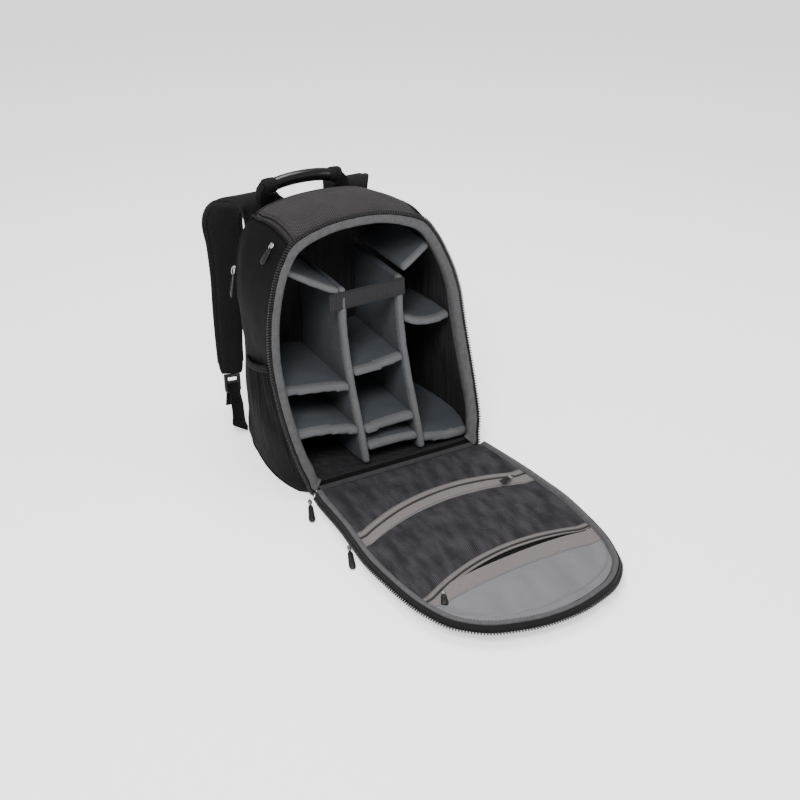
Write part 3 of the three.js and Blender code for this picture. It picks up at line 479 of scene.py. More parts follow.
class Surface:
    """The nodes of one material."""

    def __init__(self, name, rough, sheen=0.0, specular=0.5, metallic=0.0, coat=0.0):
        self.material = bpy.data.materials.new(name)
        self.material.use_nodes = True
        self.tree = self.material.node_tree
        self.shader = self.tree.nodes["Principled BSDF"].inputs
        self.coordinates = self.tree.nodes.new("ShaderNodeTexCoord").outputs
        for socket, value in (
            ("Roughness", rough), ("Metallic", metallic), ("Specular IOR Level", specular),
            ("Sheen Weight", sheen), ("Sheen Roughness", 0.45), ("Coat Weight", coat),
        ):
            self.shader[socket].default_value = value

    def put(self, socket, value):
        """Puts a number, a colour or another node's output into a socket."""
        if isinstance(value, bpy.types.NodeSocket):
            self.tree.links.new(value, socket)
        elif socket.type == "RGBA":
            socket.default_value = (*value, 1)
        else:
            socket.default_value = value

    def add(self, kind, output, inputs, **settings):
        """A node's output, with its inputs by name or number."""
        node = self.tree.nodes.new("ShaderNode" + kind)
        for name, value in settings.items():
            setattr(node, name, value)
        for name, value in inputs.items():
            self.put(node.inputs[name], value)
        return node.outputs[output]

    def place(self, kind, stretch=(1, 1, 1), turn=0.0):
        """UV or Object coordinates, in metres, stretched and turned."""
        inputs = {"Vector": self.coordinates[kind], "Scale": stretch, "Rotation": (0, 0, math.radians(turn))}
        return self.add("Mapping", "Vector", inputs)

    def waves(self, where, pitch, direction="X"):
        """Bands a pitch in millimetres apart."""
        scale = 1 / (pitch * MM) / 20 * math.pi
        return self.add("TexWave", "Fac", {"Vector": where, "Scale": scale}, bands_direction=direction)

    def lumps(self, where, size, detail=3.0):
        """Noise with lumps of a size in millimetres."""
        return self.add("TexNoise", "Fac", {"Vector": where, "Scale": 1 / (size * MM), "Detail": detail})

    def cells(self, where, pitch, jitter=0.0, feature="F1"):
        """Distance to the middle, or to the edge, of cells a pitch in millimetres wide."""
        inputs = {"Vector": where, "Scale": 1 / (pitch * MM), "Randomness": jitter}
        return self.add("TexVoronoi", "Distance", inputs, feature=feature)

    def ramp(self, factor, *stops):
        """Greys by a factor; the two stops are (position, grey)."""
        node = self.tree.nodes.new("ShaderNodeValToRGB")
        for element, (position, grey) in zip(node.color_ramp.elements, stops):
            element.position = position
            element.color = (grey, grey, grey, 1)
        self.put(node.inputs["Fac"], factor)
        return node.outputs["Color"]

    def product(self, a, b):
        return self.add("Math", 0, {0: a, 1: b}, operation="MULTIPLY")

    def blend(self, a, b, factor, mode="MIX"):
        return self.add("MixRGB", "Color", {"Fac": factor, "Color1": a, "Color2": b}, blend_type=mode)

    def mottled(self, colour, low, high, factor):
        """A colour from darker to lighter by a factor."""
        return self.blend(tinted(colour, low), tinted(colour, high), factor)

    def done(self, colour, *bumps, rough=None):
        """The material, from a colour, (height, depth in mm) pairs and a (factor, low, high) roughness."""
        self.put(self.shader["Base Color"], colour)
        if rough:
            inputs = dict(zip(("Value", "To Min", "To Max"), rough))
            self.put(self.shader["Roughness"], self.add("MapRange", "Result", inputs))
        normal = {}
        for height, depth in bumps:
            inputs = {"Strength": 1, "Distance": depth * MM, "Height": height, **normal}
            normal = {"Normal": self.add("Bump", "Normal", inputs)}
        self.put(self.shader["Normal"], normal["Normal"])
        return self.material


def plain_weave(name, colour, pitch, rough, sheen, depth, mottle, specular=0.12, lump=22):
    """Tight cloth: fine crossing threads, a faint mottle and soft wear."""
    s = Surface(name, rough, sheen, specular)
    uv = s.place("UV")
    threads = s.product(s.waves(uv, pitch, "X"), s.waves(uv, pitch, "Y"))
    patches = s.lumps(s.place("Object"), lump)
    base = s.mottled(colour, 1 - mottle, 1 + mottle, patches)
    colour = s.blend(base, s.ramp(threads, (0, 0.72), (1, 1)), 0.8, "MULTIPLY")
    wear = (patches, rough - 0.06, min(rough + 0.08, 1))
    return s.done(colour, (threads, depth), (patches, 0.35), rough=wear)


def dotted_weave(name, ground, raised, pitch):
    """Dobby cloth: a regular field of small raised dots."""
    s = Surface(name, 0.8, 0.01, 0.1)
    dots = s.ramp(s.cells(s.place("UV", turn=45), pitch), (0.22, 1), (0.52, 0))
    patches = s.lumps(s.place("Object"), 30)
    colour = s.blend(ground, raised, dots)
    colour = s.blend(colour, s.ramp(patches, (0.3, 0.82), (0.7, 1)), 1.0, "MULTIPLY")
    return s.done(colour, (dots, 0.45), (patches, 0.4))


def ribbed(name, colour, pitch, direction, rough, depth, sheen, contrast=0.55, mottle=0.12, lump=14):
    """Grosgrain or webbing: ribs across, with fine threads along them."""
    s = Surface(name, rough, sheen, 0.12)
    uv = s.place("UV")
    ribs = s.waves(uv, pitch, direction)
    other = s.waves(uv, pitch * 0.55, "Y" if direction == "X" else "X")
    base = s.mottled(colour, 1 - mottle, 1 + mottle, s.lumps(s.place("Object"), lump))
    shade = s.product(s.ramp(ribs, (0, contrast), (0.7, 1)), s.ramp(other, (0, 0.85), (1, 1)))
    return s.done(s.blend(base, shade, 1.0, "MULTIPLY"), (ribs, depth), (other, depth * 0.4))


def net(name, thread, hole, pitch, rough, sheen, stretch=(1, 1, 1)):
    """Knitted mesh: small holes between fine threads, with sheen painted into the colour in soft waves."""
    s = Surface(name, rough, sheen, 0.08)
    edge = s.cells(s.place("UV", stretch), pitch, 0.18, "DISTANCE_TO_EDGE")
    threads = s.ramp(edge, (0.1, 1), (0.24, 0))
    sheen_waves = s.lumps(s.place("UV", (1, 0.35, 1), 12), 16, 2)
    colour = s.blend(hole, thread, threads)
    # Painted sheen: the colour is darkened and lightened in soft waves, as if the threads caught the light.
    colour = s.blend(colour, s.ramp(sheen_waves, (0.36, 0.42), (0.64, 1)), 1.0, "MULTIPLY")
    return s.done(colour, (threads, 0.25), (sheen_waves, 1.2))


def brushed(name, colour, fleck):
    """Loop cloth: short fuzz with tiny flecks."""
    s = Surface(name, 0.95, 0.03, 0.1)
    where = s.place("Object")
    fuzz = s.lumps(where, 1.1, 4)
    patches = s.lumps(where, 26)
    base = s.mottled(colour, 0.82, 1.16, patches)
    return s.done(s.blend(base, fleck, s.ramp(fuzz, (0.45, 0), (0.8, 0.5))), (fuzz, 0.35), (patches, 0.8))


def smooth_nylon(name, colour):
    s = Surface(name, 0.5, 0.03, 0.3)
    uv = s.place("UV")
    threads = s.product(s.waves(uv, 0.7, "X"), s.waves(uv, 0.7, "Y"))
    crease_shading = s.lumps(s.place("UV", (1, 0.5, 1), 25), 30, 2)
    # Painted shade and highlight: the colour is darker and lighter along the wrinkles.
    base = s.mottled(colour, 0.86, 1.12, crease_shading)
    colour = s.blend(base, s.ramp(threads, (0, 0.86), (1, 1)), 0.7, "MULTIPLY")
    return s.done(colour, (threads, 0.05), (crease_shading, 1.1), rough=(crease_shading, 0.42, 0.6))


def pleated(name, colour):
    """Thin lining with soft upright folds, their shade and highlights painted into the colour."""
    s = Surface(name, 0.75, 0.0, 0.15)
    pleat_shading = s.lumps(s.place("Object", (1, 1, 0.12)), 9, 2)
    patches = s.lumps(s.place("Object"), 30)
    # Painted shade and highlight: the colour runs from half to 1.7 times its tone along the folds.
    return s.done(s.mottled(colour, 0.5, 1.7, pleat_shading), (pleat_shading, 3.0), (patches, 1.0))


def moulded(name, colour, rough, coat=0.0, grain=0.6, specular=0.22):
    """Moulded plastic with a fine spark grain."""
    s = Surface(name, rough, 0.0, specular, coat=coat)
    where = s.place("Object")
    fine = s.lumps(where, grain, 2)
    patches = s.lumps(where, 9)
    colour = s.mottled(colour, 0.8, 1.3, patches)
    return s.done(colour, (fine, 0.04), rough=(patches, max(rough - 0.08, 0.05), rough + 0.1))


def metal(name, colour, rough):
    s = Surface(name, rough, metallic=1)
    scratches = s.lumps(s.place("Object", (1, 1, 6)), 1.5, 3)
    colour = s.mottled(colour, 0.75, 1, scratches)
    return s.done(colour, (scratches, 0.03), rough=(scratches, rough - 0.08, rough + 0.14))


BLACK = (0.0062, 0.0059, 0.0064)
BLACK_CLOTH = plain_weave("black_polyester", BLACK, 1.1, 0.8, 0.0, 0.1, 0.3, 0.06)
LINING = pleated("lining", (0.017, 0.0165, 0.018))
PIPING = plain_weave("piping_cord", (0.0042, 0.0041, 0.0044), 0.9, 0.6, 0.0, 0.06, 0.2)
DOBBY = dotted_weave("dotted_cloth", (0.011, 0.0096, 0.0105), (0.062, 0.057, 0.060), 2.3)
BINDING = plain_weave("grey_binding_tape", (0.088, 0.087, 0.090), 1.3, 0.92, 0.02, 0.3, 0.36, 0.1, 7)
HINGE_CLOTH = plain_weave("hinge_cloth", (0.04, 0.039, 0.041), 1.2, 0.9, 0.0, 0.2, 0.3, 0.1, 9)
TAPE = ribbed("zip_tape", (0.0095, 0.0095, 0.010), 1.2, "Y", 0.75, 0.1, 0.01)
TEETH = moulded("zip_teeth", (0.011, 0.011, 0.0115), 0.34, 0.1, 0.6, 0.3)
COIL = moulded("fine_zip_coil", (0.045, 0.042, 0.042), 0.4)
MESH = net("pocket_mesh", (0.062, 0.058, 0.065), (0.004, 0.0038, 0.0044), 3.0, 0.55, 0.03, (1, 1.6, 1))
SIDE_MESH = net("side_pocket_mesh", (0.0095, 0.0092, 0.0098), (0.0025, 0.0025, 0.0027), 2.6, 0.85, 0.0)
GROSGRAIN = ribbed("grosgrain", (0.172, 0.153, 0.152), 1.2, "X", 0.9, 0.16, 0.02, 0.72, 0.5, 1.6)
NYLON = smooth_nylon("grey_nylon", (0.136, 0.136, 0.142))
LOOP = brushed("divider_loop_cloth", (0.044, 0.050, 0.058), (0.095, 0.105, 0.115))
LOOP_EDGE = brushed("divider_edge_cloth", (0.088, 0.090, 0.095), (0.17, 0.173, 0.178))
SPACER = dotted_weave("spacer_mesh", (0.0042, 0.0040, 0.0044), (0.015, 0.014, 0.015), 2.8)
WEBBING = ribbed("webbing", (0.0085, 0.0080, 0.0085), 2.4, "Y", 0.75, 0.35, 0.0, 0.5)
STRAP_GREY = ribbed("hold_strap_webbing", (0.028, 0.028, 0.030), 1.9, "Y", 0.85, 0.18, 0.01, 0.72)
THREAD = plain_weave("thread", (0.016, 0.0155, 0.0165), 0.5, 0.6, 0.01, 0.03, 0.1)
PALE_THREAD = plain_weave("pale_thread", (0.085, 0.084, 0.087), 0.5, 0.7, 0.01, 0.03, 0.1)
PLASTIC = moulded("black_plastic", (0.0085, 0.0085, 0.009), 0.42)
GLOSSY = moulded("glossy_grip", (0.004, 0.0038, 0.0042), 0.24, 0.25, 1.4)
RUBBER = moulded("pull_rubber", (0.0095, 0.0095, 0.0098), 0.5)
SILVER = metal("slider_metal", (0.40, 0.40, 0.39), 0.3)


# Shell

def shell_panel(name, start, end, steps, material, node, lumpiness=1.0):
    """One padded wall of the shell, fuller between its seams, with slight dents."""
    rows = np.linspace(start, end, steps)[:, None]
    depths = np.linspace(0, 1, PANEL_DEPTH_STEPS)[None]
    across = np.linspace(0, 1, steps)[:, None]
    outer = shell(rows, depths)
    normal = shell_normal(rows, depths)
    pillow = 4 * across * (1 - across)
    seam_dip = -1.6 * bell(np.minimum(across, 1 - across) * steps, 0, 2.2)
    edge_dip = -1.2 * bell(depths, 0, 0.02)
    dents = soft_noise(outer, 70, 3.1) * 2.2 + soft_noise(outer, 24, 7.7) * 0.8
    dents = dents * lumpiness * smoothstep(depths, 0.02, 0.12) * np.sqrt(pillow)
    lift = 1.2 * pillow + dents + seam_dip + edge_dip
    floor_share = smoothstep(outer[..., 2], 3, 14)
    outer = outer + normal * (lift * floor_share)[..., None]
    outer[..., 2] = np.maximum(outer[..., 2], 0.1)
    piece = slab(name, outer, shell(rows, depths, WALL), material)
    line_inside(piece, lambda face: min(face.vertices) >= steps * PANEL_DEPTH_STEPS)
    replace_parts(piece, node)


def build_shell():
    left_top, left_base = LOOP_ROWS - TOP_START_ROW, LOOP_ROWS - BASE_END_ROW
    g = SEAM_ROW_GAP
    shell_panel("base_panel", -BASE_END_ROW + g, BASE_END_ROW - g, 44, BLACK_CLOTH, "shell_base", 0.3)
    shell_panel("right_side_panel", BASE_END_ROW + g, TOP_START_ROW - g, 86, BLACK_CLOTH, "shell_side_right")
    shell_panel("top_panel", TOP_START_ROW + g, left_top - g, 60, DOBBY, "shell_top", 0.6)
    shell_panel("left_side_panel", left_top + g, left_base - g, 86, BLACK_CLOTH, "shell_side_left")
    depths = np.linspace(0.004, 1, 120)
    for side, row, into in (("right", TOP_START_ROW, 1), ("left", left_top, -1)):
        normal = shell_normal(np.full(120, row), depths)
        swept(f"top_piping_{side}", shell_path(row, depths, 0.9), normal, ring(1.7), PIPING)
        inner_row = row + into * 0.2
        inner_normal = shell_normal(np.full(120, inner_row), depths)
        path = shell_path(inner_row, depths, 0.2)
        swept(f"top_second_seam_{side}", path, inner_normal, ring(1.2, 1.0, 8), PIPING)
        path = shell_path(row + into * 0.32, depths, 0.5)
        stitches(f"top_stitches_{side}", path, np.cross(normal, Y_AXIS), TOP_STITCH, THREAD)
    for side, row in (("right", BASE_END_ROW), ("left", left_base)):
        normal = shell_normal(np.full(120, row), depths)
        swept(f"base_piping_{side}", shell_path(row, depths, 0.2), normal, ring(1.5), PIPING)
    rows = np.linspace(0, LOOP_ROWS, 240, endpoint=False)
    for name, depth, radius in (("back_piping", 0.985, 1.9), ("rear_seam", 0.62, 1.1)):
        path = shell_path(rows, depth, 0.4)
        swept(name, path, shell_normal(rows, depth), ring(radius, corners=8), PIPING, closed=True)


def back_panel():
    """Plain padded panel on the wearer's side, crowned between its seams, with a channel down the middle."""
    rows = np.linspace(0, LOOP_ROWS, 128, endpoint=False)
    count = len(rows)
    edge = shell(rows, 1.0)
    centre = edge.mean(0)
    share = ((np.arange(BACK_RINGS) + 1) / BACK_RINGS)[:, None]
    behind = centre + (edge - centre) * share[..., None] * 0.992
    crown = 1 - share ** 3
    front = behind.copy()
    front[..., 1] += 5.0 * crown - 3.2 * bell(behind[..., 0], centre[0], 9) * crown \
        + soft_noise(behind, 40, 5.0) * 0.9 * crown
    behind[..., 1] -= WALL
    hubs = [centre + Y_AXIS * 1.8, centre - Y_AXIS * WALL]
    points = np.concatenate([front.reshape(-1, 3), behind.reshape(-1, 3), hubs])
    faces = []
    for layer in (0, BACK_RINGS):
        for k in range(layer, layer + BACK_RINGS - 1):
            faces += bridge(k * count, (k + 1) * count, count)
        hub = 2 * BACK_RINGS * count + (1 if layer else 0)
        faces += [(layer * count + i, hub, layer * count + (i + 1) % count) for i in range(count)]
    faces += bridge((BACK_RINGS - 1) * count, (2 * BACK_RINGS - 1) * count, count)
    piece = new_mesh("wearer_side_panel", points, faces, SPACER, points[:, [0, 2]])
    line_inside(piece, lambda face: face.center.y < (centre[1] - WALL + 1) * MM)
    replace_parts(piece, "shell_back")


# Edge of the opening

RIM_START = BASE_END_ROW + 0.006
RIM_END = LOOP_ROWS - RIM_START


def rim_normal(z):
    step = 1.0
    slope = rim_y(z + step) - rim_y(z - step)
    return unit(np.stack([np.zeros_like(z), np.full_like(z, -2 * step), slope], -1))


def rim_line(rows, layer, lift):
    """Points on the front of the wall's edge, inwards by a layer and forwards by a lift."""
    outer, inner = shell(rows, 0.0), shell(rows, 0.0, WALL)
    point = mix(outer, inner, layer / WALL)
    if lift >= 0:
        return point + rim_normal(point[:, 2]) * lift
    stop = 0.08
    deeper = mix(shell(rows, stop), shell(rows, stop, WALL), layer / WALL)
    return mix(point, deeper, (-lift / (deeper[:, 1] - point[:, 1]))[:, None])


def kinks(lines, rough, broad, seeds):
    """How far a soft edge stands up, in small and broad kinks."""
    return np.abs(soft_noise(lines, 9, seeds[0]) + soft_noise(lines, broad, seeds[1])) * rough


def rim_band(name, corners, material, node, rough=0.0):
    rows = np.linspace(RIM_START, RIM_END, 420)
    lines = np.stack([rim_line(rows, layer, lift) for layer, lift in corners], 1)
    if rough:
        lines = lines + rim_normal(lines[..., 2]) * kinks(lines, rough, 34, (1.3, 4.0))[..., None]
    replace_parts(loft(name, lines, lines[:, 0], material, 50), node)


def build_rim():
    tape_top = TRIM_LIFT + TAPE_THICKNESS
    rim_band("opening_zip_tape", [
        (-TAPE_OVERHANG, TRIM_LIFT), (-TAPE_OVERHANG, TRIM_LIFT + 1.2), (-1, tape_top),
        (TAPE_REACH + 1, tape_top), (TAPE_REACH + 1, TRIM_LIFT),
    ], TAPE, "rim_zip_tape")
    rim_band("opening_binding", [
        (1.6, TRIM_LIFT + 1.7), (2.0, TRIM_LIFT + 2.6), (4.2, TRIM_LIFT + 3.3), (8.5, TRIM_LIFT + 3.4),
        (11.5, TRIM_LIFT + 2.9), (13.8, TRIM_LIFT + 1.6), (BINDING_REACH, -0.5),
        (BINDING_REACH, -5), (BINDING_REACH - 0.2, -BINDING_RETURN), (WALL + 1.5, -BINDING_RETURN),
        (WALL + 1.5, TRIM_LIFT),
    ], BINDING, "rim_binding", 1.1)
    rows = np.linspace(RIM_START + 0.05, RIM_END - 0.05, 900)
    path = rim_line(rows, -TAPE_OVERHANG + 0.7, tape_top + 0.3)
    inner = rim_line(rows, TAPE_REACH, tape_top + 0.5)
    coil_teeth("opening_zip_teeth", path, unit(path - inner), 6.0)
    seam = rim_line(rows, 4.4, TRIM_LIFT + 3.4)
    stitches("opening_binding_stitches", seam, unit(inner - path), EDGE_STITCH, PALE_THREAD)


def coil_teeth(name, path, outward, length):
    """Slanted teeth of a coil zip along a path."""
    tangent = unit(np.gradient(path, axis=0))
    centres, near = spaced(path, TOOTH_PITCH)
    slant = unit(outward[near] + 0.28 * tangent[near])
    up = unit(np.cross(slant, tangent[near]))
    sideways = unit(np.cross(up, slant))
    studs(name, centres, slant, sideways, up, (length, TOOTH_PITCH * 0.56, 2.8), TEETH, "zip_cloth", 0.6)


# Lid

INNER_SHARE = 1 - (LID_BINDING_WIDTH - 3) / LID_HALF_WIDTH
LID_MIDDLE = 0.45 * LID_LENGTH


def lid_half(along):
    return LID_HALF_WIDTH * table_at(LID_OUTLINE, np.asarray(along, float) / LID_LENGTH)


def inner_half(along):
    return INNER_SHARE * lid_half(LID_MIDDLE + (np.asarray(along, float) - LID_MIDDLE) / INNER_SHARE)


def lid_place(x, along, z):
    return np.stack([LID_CENTRE_X + x, LID_HINGE_Y - along, z], -1)


def edge_rise(along):
    return LID_EDGE_RISE * mix(0.2, 1, smoothstep(along, 0, LID_EDGE_RUN))


def lid_stations(count):
    """Points, inward directions and rise along the lid's edge, from the hinge's left end to its right."""
    left = [(-width * LID_HALF_WIDTH, along * LID_LENGTH) for along, width in LID_OUTLINE]
    edge = left + [(-x, along) for x, along in reversed(left)]
    points = [(LID_CENTRE_X + x, LID_HINGE_Y - along, 0) for x, along in edge]
    place = np.linspace(0.012, 0.988, count) * (len(points) - 1)
    origin = spline(points, place)
    tangent = unit(spline(points, np.minimum(place + 0.01, len(points) - 1)) - spline(points, place - 0.01))
    inward = unit(np.stack([-tangent[:, 1], tangent[:, 0], np.zeros(count)], -1))
    return origin, inward, edge_rise(LID_HINGE_Y - origin[:, 1])


def lid_line_at(stations, inset, z, share):
    """Line round the lid, inset from its edge, at a height with a share of the edge's rise."""
    origin, inward, rise = stations
    line = origin + inward * inset
    line[:, 2] = LID_TOP + z + share * rise
    return line


def lid_band(name, corners, material, node, rough=0.0):
    stations = lid_stations(360)
    lines = np.stack([lid_line_at(stations, *corner) for corner in corners], 1)
    if rough:
        lines[..., 2] += kinks(lines, rough, 30, (2.3, 6.0))
    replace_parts(loft(name, lines, lines[:, 0], material, 50), node)


def lid_disc(name, levels, material, node, start):
    """Closed piece of the lid's outline through (inset, height) levels, cut straight near the hinge."""
    origin, inward, _ = lid_stations(220)
    kept = LID_HINGE_Y - origin[:, 1] > start + 2
    loops = []
    for inset, height in levels:
        loop = (origin + inward * inset)[kept]
        loop[:, 2] = height
        straight = np.linspace(loop[-1], loop[0], 26)[1:-1]
        straight[:, 1] = LID_HINGE_Y - start
        loops.append(np.concatenate([loop, straight]))
    centre = loops[0].mean(0)
    ends = []
    for loop in (loops[0], loops[-1]):
        shares = (np.arange(1, DISC_RINGS) / DISC_RINGS)[:, None, None]
        inside = centre + (loop - centre) * shares
        inside[..., 2] = loop[0, 2]
        ends.append(inside)
    rings = np.concatenate([ends[0], loops, ends[1][::-1]])
    piece = new_mesh(name, rings, tube_faces(*rings.shape[:2]), material, rings[..., :2], 50)
    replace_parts(piece, node)


def edge_lift(x, along):
    """How far the lid's inside curls up towards its binding."""
    low, high = np.full(np.shape(x), 0.3), np.full(np.shape(x), 1.2)
    for _ in range(16):
        share = (low + high) / 2
        spread = np.clip(LID_MIDDLE + (along - LID_MIDDLE) / share, 0, LID_LENGTH)
        inside = np.abs(x) <= share * lid_half(spread)
        inside &= along <= LID_MIDDLE + (LID_LENGTH - LID_MIDDLE) * share
        low, high = np.where(inside, low, share), np.where(inside, share, high)
    return edge_rise(along) * 0.6 * smoothstep(high, INNER_SHARE - 0.11, INNER_SHARE)


def lid_line(name, by=0.0):
    nearest, bend, at = LID_LINES[name]
    return lambda x: nearest + by + bend * ((np.asarray(x, float) - at) / LINE_REACH) ** 2


def mouth_line(x):
    return np.maximum(lid_line("mouth_end")(x), lid_line("second_end", 0.6)(x))


def mouth_rise(x, along):
    across = np.minimum(np.abs(x) / inner_half(along), 1)
    return MOUTH_RISE * (1 - across ** 4) * (1 - smoothstep(along, 0.72 * LID_LENGTH, 0.93 * LID_LENGTH))


def lid_sheet(name, points, thickness, material, slot, node, held="stretched"):
    piece = slab(name, points, points - Z_AXIS * thickness, material)
    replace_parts(piece, node)


def lid_patch(name, start, end, rows, columns, height, *look):
    """Sheet on the lid between two lines; height(s, across, x, along) is above the lid's inside."""
    s = np.linspace(0, 1, rows)[:, None]
    across = np.linspace(-1, 1, columns)[None]
    x = across * inner_half(mix(start(0 * across), end(0 * across), s))
    x = across * inner_half(mix(start(x), end(x), s))
    along = mix(start(x), end(x), s)
    z = LID_TOP + height(s, across, x, along) + edge_lift(x, along)
    lid_sheet(name, lid_place(x, along, z), *look)


def draped(seed):
    """Height of a loose mesh pocket: domed, with long soft waves."""
    def height(s, across, x, along):
        dome = MESH_BULGE * (1 - (2 * s - 1) ** 4) * (1 - across ** 4)
        place = np.stack([x, along * 1.7, np.zeros_like(x)], -1)
        waves = soft_noise(place, 42, seed) * 3.6 + soft_noise(place, 15, seed + 4) * 1.3
        return SHEET_LIFT + 1 + dome * 0.85 + waves * (1 - (2 * s - 1) ** 6) * (1 - across ** 6)
    return height


def low_wave(seed):
    def height(s, across, x, along):
        return BAND_LIFT + soft_noise(np.stack([x, along, np.zeros_like(x)], -1), 36, seed) * 0.7
    return height


def open_mouth(s, across, x, along):
    return BAND_LIFT + mouth_rise(x, along) + 0.8 * bell(s, 0, 0.06)


def build_lid():
    inset = LID_INSET
    lid_disc("lid_padded_panel", [
        (inset + 2, LID_TOP), (inset, LID_TOP - 2), (inset, LID_BOTTOM + 1.5), (inset + 2, LID_BOTTOM),
    ], BLACK_CLOTH, "lid_panel", 2)
    pocket_top = LID_BOTTOM - 0.3
    lid_disc("lid_outer_pocket", [
        (18, pocket_top), (18.5, 0.7 * pocket_top), (20, 0.35 * pocket_top),
        (23, 0.1 * pocket_top), (27, 0.05),
    ], DOBBY, "lid_front_pocket", 26)
    lid_band("lid_zip_tape_edge", [
        (-0.6, -9, 1), (0.4, -9.4, 1), (1.6, -8, 1), (2.4, 0.4, 1),
        (2.0, 1.2, 1), (1.0, 1.2, 1), (0.3, 0, 1),
    ], TAPE, "lid_zip_tape")
    lid_band("lid_edge_binding", [
        (2.8, -3, 0.6), (2.4, 0.6, 1), (3.0, 2.2, 1), (4.6, 3.3, 1), (6.6, 3.5, 0.98), (8.8, 3.0, 0.88),
        (LID_BINDING_WIDTH - 0.6, 2.6, 0.62), (LID_BINDING_WIDTH, 1.6, 0.55), (LID_BINDING_WIDTH, 0.3, 0),
        (9.2, 0.3, 0), (9.2, -3, 0),
    ], BINDING, "lid_binding", 0.9)
    stations = lid_stations(700)
    inward = stations[1]
    outward = unit(-inward + np.array([0, 0, -0.35]))
    coil_teeth("lid_zip_teeth", lid_line_at(stations, -1.4, -8.2, 1), outward, 5.6)
    seam = lid_line_at(stations, 9.4, 3.4, 0.88)
    stitches("lid_binding_stitches", seam, inward, EDGE_STITCH, PALE_THREAD)
    lines = {name: lid_line(name) for name in LID_LINES}
    look = (NET_THICKNESS, MESH, "mesh_cloth")
    lid_patch("mesh_pocket_near_hinge", lambda x: 5 + 0 * x, lid_line("first_start", 1.0), 60, MESH_COLUMNS,
              draped(2.0), *look, "lid_mesh_pocket_hinge")
    lid_patch("mesh_pocket_near_tip", lid_line("first_end", -1.0), lid_line("second_start", 1.0), 80,
              MESH_COLUMNS, draped(9.0), *look, "lid_mesh_pocket_tip")
    look = (BAND_THICKNESS, GROSGRAIN, "grosgrain")
    lid_patch("first_zip_band", lines["first_start"], lines["first_end"], 14, BAND_COLUMNS,
              low_wave(1.0), *look, "lid_zip_band_hinge")
    zip_run("first_zip", lines["first_start"], 13.5)
    for name, by in (("first_band_seam_near", 2.2), ("first_band_seam_far", 33.0)):
        stitches(name, on_lid(lines["first_start"], by, SEAM_LIFT), Y_AXIS, FINE_STITCH, PALE_THREAD)
    lid_patch("second_zip_band", lines["second_start"], lines["second_end"], 8, BAND_COLUMNS,
              low_wave(5.0), *look, "lid_zip_band_tip")
    zip_run("second_zip", lines["second_start"], 10.0)
    seam = on_lid(lines["second_start"], 2.2, SEAM_LIFT)
    stitches("second_band_seam", seam, Y_AXIS, FINE_STITCH, PALE_THREAD)
    lid_patch("tip_pocket_facing", mouth_line, lines["facing_end"], 16, BAND_COLUMNS,
              open_mouth, *look, "lid_pocket_facing")
    tip_lining()
    hinge_cloth()


def on_lid(line, by, lift):
    """Path across the lid along a line, moved away from the hinge by an amount."""
    share = np.linspace(-1, 1, 240) * 0.985
    x = share * inner_half(line(0 * share) + by)
    for _ in range(2):
        x = share * inner_half(line(x) + by)
    along = line(x) + by
    return lid_place(x, along, LID_TOP + lift + edge_lift(x, along))


def zip_run(name, line, by):
    """A closed coil zip lying across the lid: a narrow tape and a raised coil."""
    path = on_lid(line, by, ZIP_LIFT)
    up = np.broadcast_to(Z_AXIS, path.shape)
    tangent = unit(np.gradient(path, axis=0))
    sideways = unit(np.cross(up, tangent))
    flat = [(-1.2, -0.5), (1.2, -0.5), (1.2, 0.3), (-1.2, 0.3)]
    swept(f"{name}_tape", path, sideways, flat, COIL)
    centres, near = spaced(path, 1.9)
    slant = unit(sideways[near] + 0.25 * tangent[near])
    across = unit(np.cross(up[near], slant))
    size = (2.6, 1.1, 1.0)
    studs(f"{name}_coil", centres + Z_AXIS * 0.9, slant, across, up[near], size, COIL, "zip_cloth", 0.6)


def tip_lining():
    """Smooth cloth from the facing to the lid's tip, with a fold near the edge."""
    nearest = LID_LINES["facing_end"][0]
    t = np.linspace(-1, 1, 110)
    x = inner_half(nearest + 12.0) * 0.999 * t
    candidates = np.linspace(nearest, LID_MIDDLE + (LID_LENGTH - LID_MIDDLE) * INNER_SHARE, 700)
    halves = inner_half(candidates)
    tip = np.array([candidates[np.nonzero(halves >= abs(v) - 1e-6)[0][-1]] for v in x])
    s = np.linspace(0, 1, 44)[:, None]
    start = lid_line("facing_end", 0.3)(x)
    along = mix(start, np.maximum(tip, start + 1), s)
    across = np.broadcast_to(x, along.shape)
    fold = -1.8 * bell(s, 0.8, 0.03) + 1.4 * bell(s, 0.86, 0.035)
    place = np.stack([across, along, np.zeros_like(along)], -1)
    wrinkle = soft_noise(place * [1, 0.55, 1], 40, 8.0) * 3.0 + soft_noise(place, 19, 3.0) * 0.8
    fade = 4 * s * (1 - s) * (1 - t ** 6)
    z = LID_TOP + BAND_LIFT + mouth_rise(across, along) + (fold + wrinkle) * np.minimum(1.4 * fade, 1)
    points = lid_place(across, along, z + edge_lift(across, along))
    lid_sheet("tip_pocket_lining", points, 1.0, NYLON, "grey_nylon", "lid_tip_lining", "laid")
    stitches("facing_seam", points[1] + Z_AXIS * 0.3, Y_AXIS, FINE_STITCH, PALE_THREAD)


def hinge_cloth():
    """The strip that joins the lid to the base, with soft gathers along it."""
    low, high = node_box("lid_hinge")
    x = np.linspace(low[0], high[0], 140)[:, None]
    t = np.linspace(0, 1, 9)[None]
    gathers = 0.9 * np.sin(x / 5.3 + 1.6 * np.sin(x / 31)) * 4 * t * (1 - t)
    z = high[2] - 0.6 - 2.0 * 4 * t * (1 - t) + gathers
    points = np.stack([x + 0 * t, mix(high[1], low[1], t) + 0 * x, z], -1)
    lid_sheet("lid_hinge_cloth", points, 1.4, HINGE_CLOTH, "grey_binding", "lid_hinge", "laid")


# Dividers

DIVIDERS = (
    "long_left", "long_right", "left_upper", "left_middle", "left_lower", "middle_upper", "middle_lower",
    "middle_bottom", "right_upper", "right_middle", "right_lower",
)


